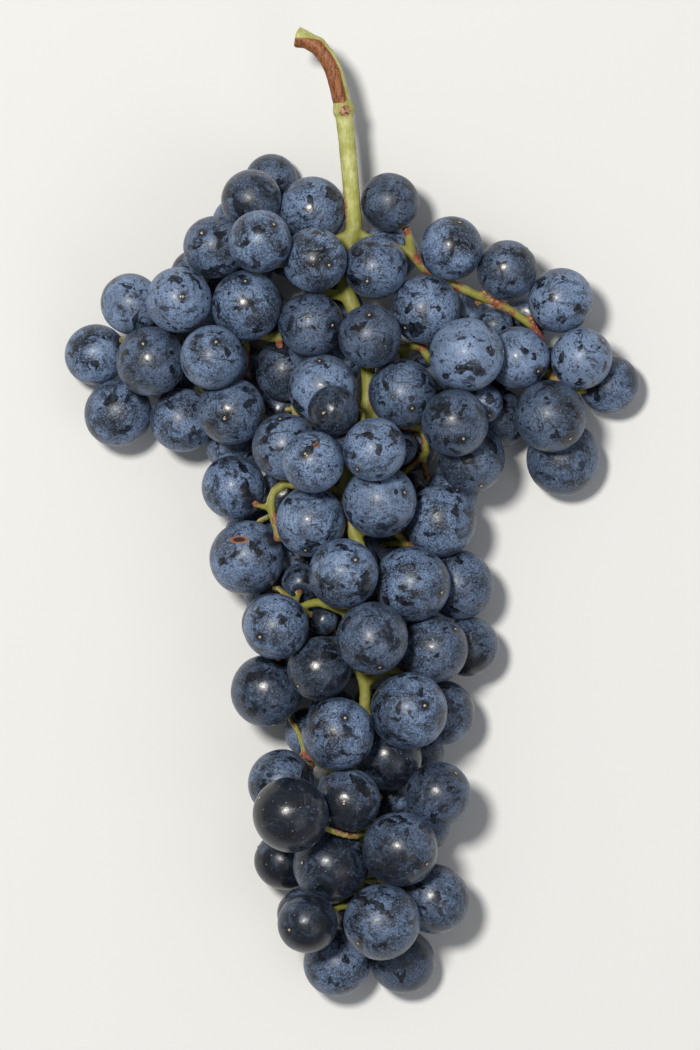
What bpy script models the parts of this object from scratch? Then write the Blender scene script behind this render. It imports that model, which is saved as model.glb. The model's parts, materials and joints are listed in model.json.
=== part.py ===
"""A bunch of dark wine grapes, as picked, lying on its back on a table.

Metres, +Z up. The bunch runs along Y: its tail points to -Y and its cut
stalk to +Y. The origin is in the middle of the bunch's footprint, at the
height of the table.

The berries that show from above are laid out by hand, layer by layer. Every
height follows from a rule: a berry comes down until it meets the berries or
the branches already there. The stem's branches lie over the lowest layer, and
each berry's own stalk then grows to them through the gaps that are left.
"""
import functools
import heapq
import itertools
import math

import bmesh
import bpy
import numpy as np
from mathutils import Vector

# ---------------------------------------------------------------- sizes, in mm
MM = 0.001

BUNCH_LENGTH = 210.5        # over the berries, from crown to tail
BUNCH_WIDTH = 143.0         # over the berries, from shoulder to shoulder
BERRY_DIAMETER = 16.0       # of a typical berry
HIDDEN_BERRY_DIAMETER = 14.6
HIDDEN_PITCH = 4.0          # step at which room for another hidden berry is looked for
HIDDEN_SQUEEZE = 2.0        # how much a hidden berry may push its neighbours aside
BERRY_GAP = 0.3             # air between berries that lie against each other
STEM_GAP = 0.3              # air between the stem and any berry
JOIN_DIAMETER = 3.2         # where two berries are pressed into one piece
JOIN_REACH = 1.2            # widest gap that such a pair may have
RIM_LIFT = 4.0              # the rim's lowest berries hang this far off the table
PLACE_SLACK = 1.3           # how far a berry may be squeezed from its drawn place
HIDDEN_SLACK = 5.0          # the same for a hidden berry
LEAST_HEIGHTS = (0.0, 0.0, 13.0, 19.0, 25.0)    # what each layer's own stalks hold it at

PEDUNCLE_DIAMETER = 4.4
RACHIS_DIAMETER = 4.2
RACHIS_TIP_DIAMETER = 2.0
BRANCH_DIAMETER = 2.6
BRANCH_TIP_DIAMETER = 1.8
TWIG_DIAMETER = 1.9
PEDICEL_DIAMETER = 1.5
RECEPTACLE_DIAMETER = 2.4
KNUCKLE_DIAMETER = 5.6
CUT_END_DIAMETER = 5.4
BRANCH_LEVEL = 17.0         # height of the branches where nothing lifts them
PEDUNCLE_LEVEL = 21.0       # height of the free stalk above the crown

MAX_NODES = 59              # pieces that the berries are made as
MAX_PER_NODE = 4

# How the berries lie on each other.
SMALLEST_SHARE = 0.90       # of the hidden berry's diameter, for the smallest one
SIZE_SPREAD = 0.16
OUTLINE_STEPS = 12          # places on a berry's outline that are looked at
SETTLING_TURNS = 1800       # how long the berries take to press together
RESTING_TURNS = 500         # of them, with nothing sinking any more
SINKING_STEP = 0.06
PUSH_SHARE = 0.8            # of an overlap, undone in one turn
DRAW_BACK = 0.995           # how much of its shift a berry keeps from turn to turn
FAR_AWAY = 99.0
POCKET_STEP = 1.2           # step of the lattice that pockets for more berries are found on
POCKET_NEARBY = 10.0
POCKET_WALLS = 5            # berries that must stand around a pocket
POCKET_COVER = 0.8          # share of a pocket berry's outline that the others must hide
LEAST_POCKET = 11.0         # diameter of the smallest berry that is worth a pocket

# How the branches and the stalks run between them.
BRANCH_STEP = 2.0           # spacing of the points of a branch
TAUT_TURNS = 240            # how long a branch takes to pull straight over the berries
STEEPEST = 0.45             # slope at which a branch may come down
GRID = 0.8                  # step of the lattice that the stalks grow through
LATTICE_MARGIN = 2.0
TIGHT = 0.62                # least room, from a stalk's middle to any berry
WIDE = 1.4                  # room beyond which a gap costs nothing extra
TIGHT_COST = 4.0            # for each millimetre short of that
MOST_TIGHT_COST = 3.2
DEEP = 4.0                  # berries near a place that is deep in the bunch
SHALLOW_COST = 1.2          # for each berry short of that
OPEN_AIR = 5.0              # a stalk never strays further than this from a berry
STALK_FLOOR = 1.2           # nor lower than this over the table
LEAST_AIR = 0.1             # between a berry and any stalk, once the bunch is resized
START_FAR = 1.7             # a stalk's first bend is within this of its berry
NEAR_STALK = 6.0            # berries within this can push a stalk aside
STALK_PUSH = 0.6            # share of the push made in one turn
SMOOTHING_TURNS = 14
STRAIGHTNESS = 0.28         # how far a dropped point may lie from the straight line
THICKENING = 0.4            # power of the number of berries that a stalk carries
TWIG_GROWTH = 0.2           # what each berry adds to a twig's diameter at most
LEAST_RADIUS = 0.42
FORK_OVERLAP = 0.7          # stalks run past a fork by this share of their radius

# How the solids are made.
RACHIS_SIDES = 12
BRANCH_SIDES = 8
STALK_SIDES = 6
JOIN_SIDES = 5
SKIN_STEP = 0.36            # fineness of the skin that closes round the stem
SKIN_SHARE = 0.032          # share of that skin's faces that the stem keeps

# Where the regions of the bunch meet.
CROWN_FROM = 55.0
SHOULDERS_FROM = 8.0
WAIST_FROM = -45.0
SHOULDER_SIDE = 22.0

# ------------------------------------------------- the layout, drawn by hand
# The plan is drawn for a typical berry of 16 mm, in a bunch 143 mm wide and
# 210.5 mm long. Each row is a berry: across, along, diameter.
PLAN_WIDTH = 143.0
PLAN_LENGTH = 210.5
PLAN_BERRY = 16.0
PLAN_MIDDLE = (0.4, 0.5)

LOWEST_LAYER = (
    (-19.9, 83.5, 13.2), (-27.0, 74.0, 13.6), (-38.5, 58.5, 13.6), (-63.9, 39.5, 15.0),
    (-29.3, 16.5, 13.8), (-36.5, 45.5, 13.0), (9.8, 65.5, 14.8), (46.0, 50.0, 12.5),
    (28.5, 50.0, 13.5), (64.6, 33.2, 14.6), (53.5, 14.9, 18.3), (37.2, 25.0, 15.0),
    (38.6, 38.0, 14.0), (-17.0, 27.0, 13.0), (-17.0, 4.0, 13.0), (-18.8, -20.5, 13.0),
    (-10.6, -55.0, 12.4), (18.2, -59.4, 12.4), (11.0, -73.0, 12.0), (17.8, -78.2, 12.6),
    (1.5, -98.5, 13.0), (-2.8, -112.6, 16.5), (13.4, -113.1, 15.9), (-4.0, 38.0, 14.0),
    (20.5, 33.5, 14.0), (15.0, 16.0, 13.4), (13.0, 5.0, 13.6), (24.6, 4.2, 12.8),
    (5.6, -9.4, 13.4), (-12.0, -12.0, 13.0),
)
LOWER_LAYER = (
    (-28.4, 24.7, 16.6), (-24.5, 51.3, 17.2), (-23.8, 77.3, 14.8), (-33.2, 65.0, 15.4),
    (-53.6, 51.8, 14.8), (-58.1, 25.3, 16.6), (-42.5, 24.5, 15.6), (-17.4, 35.2, 14.8),
    (25.3, 64.8, 15.6), (51.8, 52.7, 15.9), (36.3, 48.4, 8.8), (34.9, 27.2, 9.4),
    (29.9, 14.7, 16.7), (26.2, -18.4, 17.1), (28.7, -33.4, 14.7), (-20.1, -45.5, 17.5),
    (22.4, -49.8, 16.0), (-15.9, -67.6, 16.2), (20.9, -70.3, 16.0), (-15.3, -87.6, 14.2),
    (20.0, -96.8, 17.2),
)
UPPER_LAYER = (
    (-8.3, 76.8, 16.4), (-22.8, 66.1, 15.3), (-41.3, 53.1, 16.2), (-10.3, 47.7, 15.7),
    (-49.5, 39.1, 17.1), (-33.2, 37.8, 15.6), (9.2, 77.0, 14.6), (5.5, 60.4, 15.7),
    (38.8, 59.6, 14.7), (3.8, 44.1, 15.4), (42.6, 37.9, 15.3), (51.4, 24.5, 17.6),
    (57.4, 39.4, 15.0), (25.4, 23.3, 16.4), (13.6, 16.7, 9.0), (-5.8, 29.9, 17.0),
    (-17.2, 17.1, 16.2), (-29.1, 6.8, 15.7), (-25.4, -10.1, 18.3), (-10.2, -2.8, 17.2),
    (6.2, 2.7, 18.0), (23.0, -2.9, 17.7), (-12.2, -17.6, 9.4), (-17.3, -29.3, 15.9),
    (-6.2, -38.8, 15.6), (21.8, -34.1, 16.4), (10.9, -61.9, 16.4), (-1.0, -73.0, 15.8),
    (-5.3, -89.1, 18.5), (-10.0, -101.3, 14.6),
)
TOP_LAYER = (
    (-9.2, 62.9, 15.9), (18.0, 51.6, 16.9), (29.1, 39.4, 18.0), (12.0, 29.3, 16.8),
    (-3.7, 24.9, 12.2), (-7.8, 12.9, 15.2), (4.9, 15.3, 15.4), (-0.4, -15.8, 17.1),
    (16.3, -19.0, 18.6), (-6.8, -26.8, 7.4), (4.6, -31.9, 17.5), (13.7, -48.8, 19.0),
    (-3.2, -53.9, 17.8), (-13.3, -74.9, 18.4), (8.5, -101.0, 18.7), (12.0, -83.6, 18.3),
)

# The stem's plan: each branch starts on the stalk and threads between berries.
PEDUNCLE = (
    (-13.2, 119.2, 0.0), (-10.8, 118.5, 0.4), (-8.0, 117.0, 0.8), (-5.5, 114.0, 1.0),
    (-3.8, 110.5, 1.0), (-2.6, 106.0, 0.6), (-1.5, 101.0, 0.0), (-0.6, 93.0, 0.0),
)
KNUCKLE_PLACE = 6           # the joint is at this point of the peduncle
RACHIS = (
    (-0.6, 93.0), (0.2, 85.0), (1.0, 77.0), (1.0, 70.0), (-1.5, 61.0), (-0.5, 54.0), (3.6, 45.0),
    (4.8, 36.0), (4.2, 25.0), (0.5, 14.0), (-1.0, 5.0), (1.0, -5.7), (4.5, -14.0), (0.0, -25.0),
    (-1.0, -33.0), (3.8, -43.0), (2.5, -55.0), (-3.6, -64.5), (3.0, -77.0), (3.5, -88.0),
    (2.0, -98.0), (4.5, -106.0),
)
BRANCHES = {
    "right_shoulder": ((1.0, 70.0), (8.5, 67.6), (15.5, 65.0), (18.4, 61.5), (26.0, 57.2),
                       (31.5, 55.0), (39.5, 51.5), (47.5, 45.0), (50.0, 34.5)),
    "right_shoulder_tip": ((50.0, 34.5), (57.0, 29.5)),
    "left_shoulder": ((1.0, 70.0), (-8.0, 66.5), (-16.0, 62.5), (-23.0, 63.0), (-31.0, 62.0),
                      (-36.5, 58.5), (-42.0, 53.0), (-47.5, 45.0), (-54.5, 43.0)),
    "left_arm": ((-0.5, 54.0), (-10.0, 55.0), (-17.5, 44.5), (-25.0, 45.0), (-33.5, 45.5),
                 (-41.5, 38.5), (-49.5, 32.5)),
    "right_arm": ((3.6, 45.0), (13.0, 41.0), (17.8, 42.0), (20.0, 38.5), (33.0, 31.0)),
    "left_middle": ((4.2, 25.0), (-3.0, 24.0), (-9.5, 22.5), (-17.0, 21.5), (-24.0, 25.0),
                    (-34.0, 30.5)),
    "right_middle": ((4.2, 25.0), (12.0, 22.5), (20.5, 21.0), (31.0, 21.5)),
    "left_waist": ((-1.0, 5.0), (-9.5, 6.5), (-16.5, 7.0), (-19.6, 3.5), (-19.2, -1.0),
                   (-17.5, -6.5)),
    "right_waist": ((1.0, -5.7), (9.0, -3.0), (15.0, -8.8), (20.5, -11.5)),
    "left_tail": ((0.0, -25.0), (-8.0, -22.4), (-13.5, -24.5)),
    "right_tail": ((3.8, -43.0), (9.0, -39.5), (15.0, -40.5), (20.5, -42.5)),
    "tail_fork": ((-3.6, -64.5), (-8.2, -62.0), (-11.5, -60.5)),
    "crown_spur": ((15.5, 65.0), (14.6, 71.0)),
    "arm_spur": ((13.4, 41.2), (14.0, 37.6)),
}

# ------------------------------------------------------------------- colours
BERRY_COLOUR = (0.090, 0.145, 0.290, 1.0)
STEM_COLOUR = (0.330, 0.310, 0.080, 1.0)
BERRY_ROUGHNESS = 0.55
STEM_ROUGHNESS = 0.60


# ------------------------------------------------------------ laying it out
def from_middle(row):
    """A place of the plan, measured from its middle."""
    return row[0] - PLAN_MIDDLE[0], row[1] - PLAN_MIDDLE[1]


def facet_depth(radius):
    """How far below its centre a berry's lowest facet lies."""
    return radius * -icosphere_corners()[:, 2].min()


@functools.cache
def icosphere_corners():
    """Corners of a unit berry that stands on one of its facets."""
    mesh = bmesh.new()
    bmesh.ops.create_icosphere(mesh, subdivisions=2, radius=1.0)
    mesh.faces.ensure_lookup_table()
    down = mesh.faces[0].normal.copy()
    turn = down.rotation_difference(Vector((0.0, 0.0, -1.0)))
    bmesh.ops.rotate(mesh, verts=mesh.verts, cent=(0.0, 0.0, 0.0), matrix=turn.to_matrix())
    corners = np.array([v.co[:] for v in mesh.verts])
    mesh.free()
    return corners


def drawn_bunch():
    """The bunch at its drawn size: its berries and its branches."""
    visible = (LOWER_LAYER, UPPER_LAYER, TOP_LAYER)
    hidden = hidden_berries(LOWEST_LAYER, [row for rows in visible for row in rows])
    berries, branches = settled((LOWEST_LAYER, hidden) + visible)
    berries = pressed_together(berries, branches)
    return berries + pocket_berries(berries, branches), branches


def resized_bunch(berries, branches, groups, links):
    """The bunch at the size asked for, pressed together again if that differs.

    Berries that share a piece move as one, so that they keep their hold on each other.
    """
    across = BUNCH_WIDTH / PLAN_WIDTH
    along = BUNCH_LENGTH / PLAN_LENGTH
    grown = BERRY_DIAMETER / PLAN_BERRY
    if across == along == grown == 1.0:
        return berries, branches
    resized = {}
    for group in groups:
        middle = np.mean([berries[i][:2] for i in group], axis=0).tolist()
        for i in group:
            x, y, z, radius, layer = berries[i]
            resized[i] = (middle[0] * across + (x - middle[0]) * grown,
                          middle[1] * along + (y - middle[1]) * grown,
                          z * grown, radius * grown, layer)
    branches = {name: [(x * across, y * along, z * grown, r) for x, y, z, r in line]
                for name, line in branches.items()}
    berries = [resized[i] for i in range(len(berries))]
    return pressed_together(berries, branches, links), branches


def clear_of_stalks(berries, stalks):
    """The berries, each a little smaller where a stalk passes too close by."""
    lines = [(points, radii) for points, radii in stalks]
    slimmer = []
    for x, y, z, radius, layer in berries:
        centre = Vector((x, y, z))
        for points, radii in lines:
            for start, end, one, other in zip(points, points[1:], radii, radii[1:]):
                chord = end - start
                share = (centre - start).dot(chord) / max(chord.length_squared, 1e-9)
                share = max(0.0, min(1.0, share))
                room = (start + chord * share - centre).length - (one + (other - one) * share)
                radius = min(radius, room - LEAST_AIR)
        slimmer.append((x, y, z, radius, layer))
    return slimmer


def hash_unit(number):
    """A fixed value from 0 to 1 for each whole number."""
    return (number * 0.6180339887) % 1.0


def height_on(x, y, radius, gap, placed, floor):
    """The height at which something round comes to rest on what is placed."""
    height = floor
    for ox, oy, oz, oradius in placed:
        reach = radius + oradius + gap
        flat = math.hypot(x - ox, y - oy)
        if flat < reach:
            height = max(height, oz + math.sqrt(reach * reach - flat * flat))
    return height


def covered(x, y, radius, above):
    """Whether the berries above hide a berry's whole outline."""
    for step in range(OUTLINE_STEPS):
        angle = step * math.tau / OUTLINE_STEPS
        px = x + radius * math.cos(angle)
        py = y + radius * math.sin(angle)
        if not any(math.hypot(px - ax, py - ay) < 0.5 * wide for ax, ay, wide in above):
            return False
    return True


def hidden_berries(lowest, above):
    """Plan rows of more berries, wherever there is room for one under the others."""
    found = []
    across = np.arange(-0.5 * PLAN_WIDTH, 0.5 * PLAN_WIDTH, HIDDEN_PITCH)
    along = np.arange(-0.5 * PLAN_LENGTH, 0.5 * PLAN_LENGTH, HIDDEN_PITCH)
    for number, (y, x) in enumerate((y, x) for y in along for x in across):
        diameter = HIDDEN_BERRY_DIAMETER * (SMALLEST_SHARE + SIZE_SPREAD * hash_unit(number))
        clear = all(math.hypot(x - ox, y - oy) > 0.5 * (diameter + other) - HIDDEN_SQUEEZE
                    for ox, oy, other in list(lowest) + found)
        if clear and covered(x, y, 0.5 * diameter, above):
            found.append((x, y, diameter))
    return found


def taut_line(plan, radius_start, radius_end, placed, start):
    """A branch laid over the berries below it, as spheres along its line."""
    points = smooth_line([Vector((x, y, 0.0)) for x, y in plan], BRANCH_STEP)
    radii = [radius_start + (radius_end - radius_start) * i / (len(points) - 1)
             for i in range(len(points))]
    needed = [height_on(p.x, p.y, r, STEM_GAP, placed, BRANCH_LEVEL) for p, r in zip(points, radii)]
    needed[0] = max(needed[0], start)
    heights = list(needed)
    for _ in range(TAUT_TURNS):
        for i in range(1, len(heights) - 1):
            heights[i] = max(needed[i], 0.5 * (heights[i - 1] + heights[i + 1]))
    for i in range(1, len(heights)):
        heights[i] = max(heights[i], heights[i - 1] - STEEPEST * BRANCH_STEP)
    return [(p.x, p.y, z, r) for p, z, r in zip(points, heights, radii)]


def smooth_line(corners, step):
    """Points a step apart on a Catmull-Rom curve through the corners."""
    ends = [2 * corners[0] - corners[1]] + list(corners) + [2 * corners[-1] - corners[-2]]
    points = []
    for i in range(1, len(ends) - 2):
        before, start, end, after = ends[i - 1:i + 3]
        count = max(1, round((end - start).length / step))
        for k in range(count):
            t = k / count
            points.append(0.5 * ((2 * start) + (end - before) * t
                                 + (2 * before - 5 * start + 4 * end - after) * t * t
                                 + (3 * start - before - 3 * end + after) * t ** 3))
    points.append(corners[-1].copy())
    return points


def resting_height(number, radius, layer):
    """The lowest that a berry's middle may be."""
    lift = RIM_LIFT * hash_unit(number) if layer == 0 else 0.0
    return max(facet_depth(radius) + lift, LEAST_HEIGHTS[layer])


def settled(layers):
    """Every berry as across, along, height, radius, layer; and every branch."""
    berries = []
    branches = {}
    for layer, rows in enumerate(layers):
        for row in rows:
            x, y = from_middle(row)
            radius = 0.5 * row[2]
            below = [b[:4] for b in berries]
            if layer >= 2:
                below += [point for line in branches.values() for point in line]
            floor = resting_height(len(berries), radius, layer)
            height = height_on(x, y, radius, BERRY_GAP, below, floor)
            berries.append((x, y, height, radius, layer))
        if layer == 1:
            branches = laid_branches([b[:4] for b in berries])
    return berries, branches


def laid_branches(below):
    """The stalk through the bunch and its branches, over the lowest berries."""
    lines = {}
    plan = [from_middle(point) for point in RACHIS]
    lines["rachis"] = taut_line(plan, 0.5 * RACHIS_DIAMETER, 0.5 * RACHIS_TIP_DIAMETER,
                                below, PEDUNCLE_LEVEL)
    for name, rows in BRANCHES.items():
        plan = [from_middle(point) for point in rows]
        start = nearest_sphere(plan[0], lines)
        lines[name] = taut_line(plan, 0.5 * BRANCH_DIAMETER, 0.5 * BRANCH_TIP_DIAMETER,
                                below, start[2])
    return lines


def pressed_together(berries, branches, links=()):
    """The berries sunk down on each other, each near its drawn place.

    Two berries that are linked stay within the reach of their join.
    """
    drawn = np.array([b[:2] for b in berries])
    centres = np.array([b[:3] for b in berries])
    radii = np.array([b[3] for b in berries])
    floors = np.array([resting_height(number, b[3], b[4]) for number, b in enumerate(berries)])
    slack = np.array([HIDDEN_SLACK if b[4] == 1 else PLACE_SLACK for b in berries])
    stems = np.array([point for line in branches.values() for point in line])
    itself = FAR_AWAY * np.eye(len(berries))
    reach = radii[:, None] + radii[None, :] + BERRY_GAP
    stem_reach = radii[:, None] + stems[None, :, 3] + STEM_GAP
    one, other = np.array(links, dtype=int).reshape(-1, 2).T
    for turn in range(SETTLING_TURNS):
        sinking = turn < SETTLING_TURNS - RESTING_TURNS
        if sinking:
            centres[:, 2] -= SINKING_STEP
        apart = centres[:, None, :] - centres[None, :, :]
        far = np.sqrt((apart ** 2).sum(axis=2)) + itself
        deep = np.clip(reach - far, 0.0, None)
        move = (apart * (0.5 * deep / far)[:, :, None]).sum(axis=1)
        from_stem = centres[:, None, :] - stems[None, :, :3]
        far = np.sqrt((from_stem ** 2).sum(axis=2))
        deep = np.clip(stem_reach - far, 0.0, None)
        worst = deep.argmax(axis=1)
        rows = np.arange(len(berries))
        move += from_stem[rows, worst] * (deep[rows, worst] / far[rows, worst])[:, None]
        if links:
            between = centres[other] - centres[one]
            far = np.sqrt((between ** 2).sum(axis=1))
            wide = np.clip(far - radii[one] - radii[other] - JOIN_REACH, 0.0, None)
            pull = between * (0.5 * wide / far)[:, None]
            np.add.at(move, one, pull)
            np.subtract.at(move, other, pull)
        centres += PUSH_SHARE * move
        offset = centres[:, :2] - drawn
        strayed = np.sqrt((offset ** 2).sum(axis=1))
        held = np.minimum(1.0, slack / np.maximum(strayed, 1e-9))
        kept = DRAW_BACK if sinking else 1.0
        centres[:, :2] = drawn + offset * (kept * held)[:, None]
        centres[:, 2] = np.maximum(centres[:, 2], floors)
    apart = centres[:, None, :] - centres[None, :, :]
    far = np.sqrt((apart ** 2).sum(axis=2)) + itself
    radii -= 0.5 * np.clip(reach - far, 0.0, None).max(axis=1)
    from_stem = centres[:, None, :] - stems[None, :, :3]
    far = np.sqrt((from_stem ** 2).sum(axis=2))
    room = (far - stems[None, :, 3]).min(axis=1) - STEM_GAP
    radii = np.minimum(radii, room)
    return [(*centre, radius, berry[4])
            for centre, radius, berry in zip(centres.tolist(), radii.tolist(), berries)]


def nearest_sphere(point, lines):
    """The piece of branch that passes closest to a place in the plan."""
    spheres = [sphere for line in lines.values() for sphere in line]
    return min(spheres, key=lambda s: math.hypot(s[0] - point[0], s[1] - point[1]))


# ------------------------------------------------- which berries share a piece
def shared_pieces(berries):
    """Groups of berries that press on each other, one group for each piece."""
    group = {i: i for i in range(len(berries))}
    members = {i: [i] for i in range(len(berries))}
    links = []
    pairs = []
    for i, a in enumerate(berries):
        for j in range(i):
            b = berries[j]
            air = math.dist(a[:3], b[:3]) - a[3] - b[3]
            if air < JOIN_REACH:
                pairs.append((a[4] + b[4], round(air, 3), j, i))
    for limit in range(2, MAX_PER_NODE + 1):
        for _, _, j, i in sorted(pairs):
            one, other = group[j], group[i]
            if len(members) <= MAX_NODES:
                break
            if one != other and len(members[one]) + len(members[other]) <= limit:
                links.append((j, i))
                members[one] += members.pop(other)
                for k in members[one]:
                    group[k] = one
    return list(members.values()), links


# ------------------------------------------------------------ growing the stem

def room_lattice(balls, step, nearby):
    """Free room at each lattice place, and how many balls are nearby."""
    spheres = np.array(balls)
    low = (spheres[:, :3] - spheres[:, 3:]).min(axis=0) - LATTICE_MARGIN
    high = (spheres[:, :3] + spheres[:, 3:]).max(axis=0) + LATTICE_MARGIN
    shape = tuple(int(n) for n in np.ceil((high - low) / step) + 1)
    room = np.full(shape, FAR_AWAY, dtype=np.float32)
    crowd = np.zeros(shape, dtype=np.float32)
    for ball in spheres:
        block, far = distances(ball, nearby, low, step, shape)
        room[block] = np.minimum(room[block], far)
        crowd[block] += far < nearby
    return low, room, crowd


def distances(ball, reach, low, step, shape):
    """The block of lattice places near a ball, and how far each is from its skin."""
    centre = ball[:3]
    size = ball[3] + reach
    first = np.maximum(((centre - size - low) / step).astype(int), 0)
    last = np.minimum(((centre + size - low) / step).astype(int) + 2, shape)
    axes = [low[k] + step * np.arange(first[k], last[k]) - centre[k] for k in range(3)]
    gx, gy, gz = np.meshgrid(*axes, indexing="ij", sparse=True)
    block = tuple(slice(first[k], last[k]) for k in range(3))
    return block, np.sqrt(gx * gx + gy * gy + gz * gz) - ball[3]


def pocket_berries(berries, branches):
    """Berries inside the bunch, wherever the others leave a pocket that they hide."""
    stems = [point for line in branches.values() for point in line]
    low, room, crowd = room_lattice([b[:4] for b in berries], POCKET_STEP, POCKET_NEARBY)
    for stem in stems:
        block, far = distances(np.array(stem), POCKET_NEARBY, low, POCKET_STEP, room.shape)
        room[block] = np.minimum(room[block], far)
    heights = low[2] + POCKET_STEP * np.arange(room.shape[2])
    room[crowd < POCKET_WALLS] = 0.0
    room[:, :, heights < 0.5 * LEAST_POCKET] = 0.0
    found = []
    while room.max() > 0.5 * LEAST_POCKET + BERRY_GAP:
        place = np.unravel_index(room.argmax(), room.shape)
        x, y, z = (low + POCKET_STEP * np.array(place)).tolist()
        radius = min(0.5 * HIDDEN_BERRY_DIAMETER, float(room[place]) - BERRY_GAP)
        above = [(b[0], b[1], 2.0 * b[3]) for b in berries if b[2] > z]
        if covered(x, y, POCKET_COVER * radius, above):
            found.append((x, y, z, radius, 1))
            ball, reach = np.array((x, y, z, radius)), POCKET_NEARBY
        else:
            ball, reach = np.array((x, y, z, 0.0)), POCKET_STEP
        block, far = distances(ball, reach, low, POCKET_STEP, room.shape)
        room[block] = np.minimum(room[block], np.where(far < reach, far, FAR_AWAY))
    return found


def travel_cost(low, room, crowd):
    """What a step costs: least in the middle of wide gaps deep in the bunch."""
    tight = np.clip(TIGHT_COST * (WIDE - room), 0.0, MOST_TIGHT_COST)
    shallow = SHALLOW_COST * np.clip(DEEP - crowd, 0.0, DEEP)
    cost = 1.0 + tight + shallow
    heights = low[2] + GRID * np.arange(room.shape[2])
    blocked = (room < TIGHT) | (room > OPEN_AIR)
    blocked[:, :, heights < STALK_FLOOR] = True
    cost[blocked] = 0.0
    return cost


def grown_paths(low, cost, lines):
    """The cheapest way back to a branch from each free place (Dijkstra)."""
    shape = cost.shape
    flat = cost.ravel().tolist()
    best = [math.inf] * len(flat)
    parent = [-1] * len(flat)
    root = {}
    queue = []
    strides = (shape[1] * shape[2], shape[2], 1)
    for name, line in lines.items():
        for number, (x, y, z, radius) in enumerate(line):
            place = [round((v - low[k]) / GRID) for k, v in enumerate((x, y, z))]
            if all(1 <= place[k] < shape[k] - 1 for k in range(3)):
                cell = sum(place[k] * strides[k] for k in range(3))
                if flat[cell] > 0.0 and cell not in root:
                    root[cell] = (name, number)
                    best[cell] = 0.0
                    heapq.heappush(queue, (0.0, cell))
    steps = []
    for way in itertools.product((-1, 0, 1), repeat=3):
        if any(way):
            steps.append((sum(w * s for w, s in zip(way, strides)), math.hypot(*way)))
    while queue:
        far, cell = heapq.heappop(queue)
        if far > best[cell]:
            continue
        for step, length in steps:
            other = cell + step
            if 0 <= other < len(flat) and flat[other] > 0.0:
                total = far + length * flat[other]
                if total < best[other]:
                    best[other] = total
                    parent[other] = cell
                    heapq.heappush(queue, (total, other))
    return best, parent, root


def stalk_starts(berries, low, best, shape):
    """For each berry, the lattice place where its stalk can best begin."""
    cells = np.array(best).reshape(shape)
    starts = []
    for berry in berries:
        block, far = distances(np.array(berry[:4]), START_FAR, low, GRID, shape)
        value = np.where((far > TIGHT) & (far < START_FAR), cells[block], math.inf)
        place = np.unravel_index(value.argmin(), value.shape)
        starts.append(tuple(int(block[k].start + place[k]) for k in range(3)))
    return starts


def traced(starts, shape, parent):
    """Each stalk's lattice cells back to a branch, and how many use each cell."""
    carried = {}
    paths = []
    for place in starts:
        cell = (place[0] * shape[1] + place[1]) * shape[2] + place[2]
        path = [cell]
        while parent[cell] >= 0:
            cell = parent[cell]
            path.append(cell)
        for cell in path:
            carried[cell] = carried.get(cell, 0) + 1
        paths.append(path)
    return paths, carried


def stalk_runs(paths, carried):
    """The stalks cut where they meet, as runs of cells: (cells, berries carried, berry)."""
    runs = []
    done = set()
    for berry, path in enumerate(paths):
        run = [path[0]]
        tip = berry
        for before, cell in zip(path, path[1:]):
            run.append(cell)
            if carried[cell] != carried[before]:
                runs.append((run, carried[before], tip))
                tip = None
                if cell in done:
                    run = None
                    break
                done.add(cell)
                run = [cell]
        if run and len(run) > 1:
            runs.append((run, carried[run[0]], tip))
        elif run and tip is not None:
            runs.append((run, 1, tip))
    return runs


def stalk_lines(berries, branches, links):
    """The centre line and radii of every run of stalk between two forks."""
    balls = [b[:4] for b in berries] + [joint_ball(berries[i], berries[j]) for i, j in links]
    low, room, crowd = room_lattice(balls, GRID, OPEN_AIR)
    cost = travel_cost(low, room, crowd)
    best, parent, root = grown_paths(low, cost, branches)
    starts = stalk_starts(berries, low, best, room.shape)
    paths, carried = traced(starts, room.shape, parent)
    lines = []
    for run, count, berry in stalk_runs(paths, carried):
        cells = np.array(np.unravel_index(run, room.shape)).T
        points = [Vector(low + GRID * cell) for cell in cells]
        fixed = 1
        if run[-1] in root:
            name, number = root[run[-1]]
            points.append(Vector(branches[name][number][:3]))
            fixed = 2
        if berry is not None:
            centre = Vector(berries[berry][:3])
            outward = (points[0] - centre).normalized()
            points.insert(0, centre + outward * (berries[berry][3] + STEM_GAP))
        thick = min(PEDICEL_DIAMETER * count ** THICKENING, TWIG_DIAMETER + TWIG_GROWTH * count)
        lines.append(stalk_line(points, 0.5 * thick, berry, balls, fixed))
    return lines


def joint_ball(one, other):
    """The waist where two berries are pressed into one piece, as a small ball."""
    a, b = Vector(one[:3]), Vector(other[:3])
    along = (b - a).normalized()
    middle = 0.5 * (a + along * one[3] + b - along * other[3])
    return middle.x, middle.y, middle.z, 0.5 * JOIN_DIAMETER


def room_at(point, balls, skip):
    """Air between a point and the nearest ball, leaving one ball out."""
    return min(((point - Vector(ball[:3])).length - ball[3]
                for number, ball in enumerate(balls) if number != skip), default=OPEN_AIR)


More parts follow.
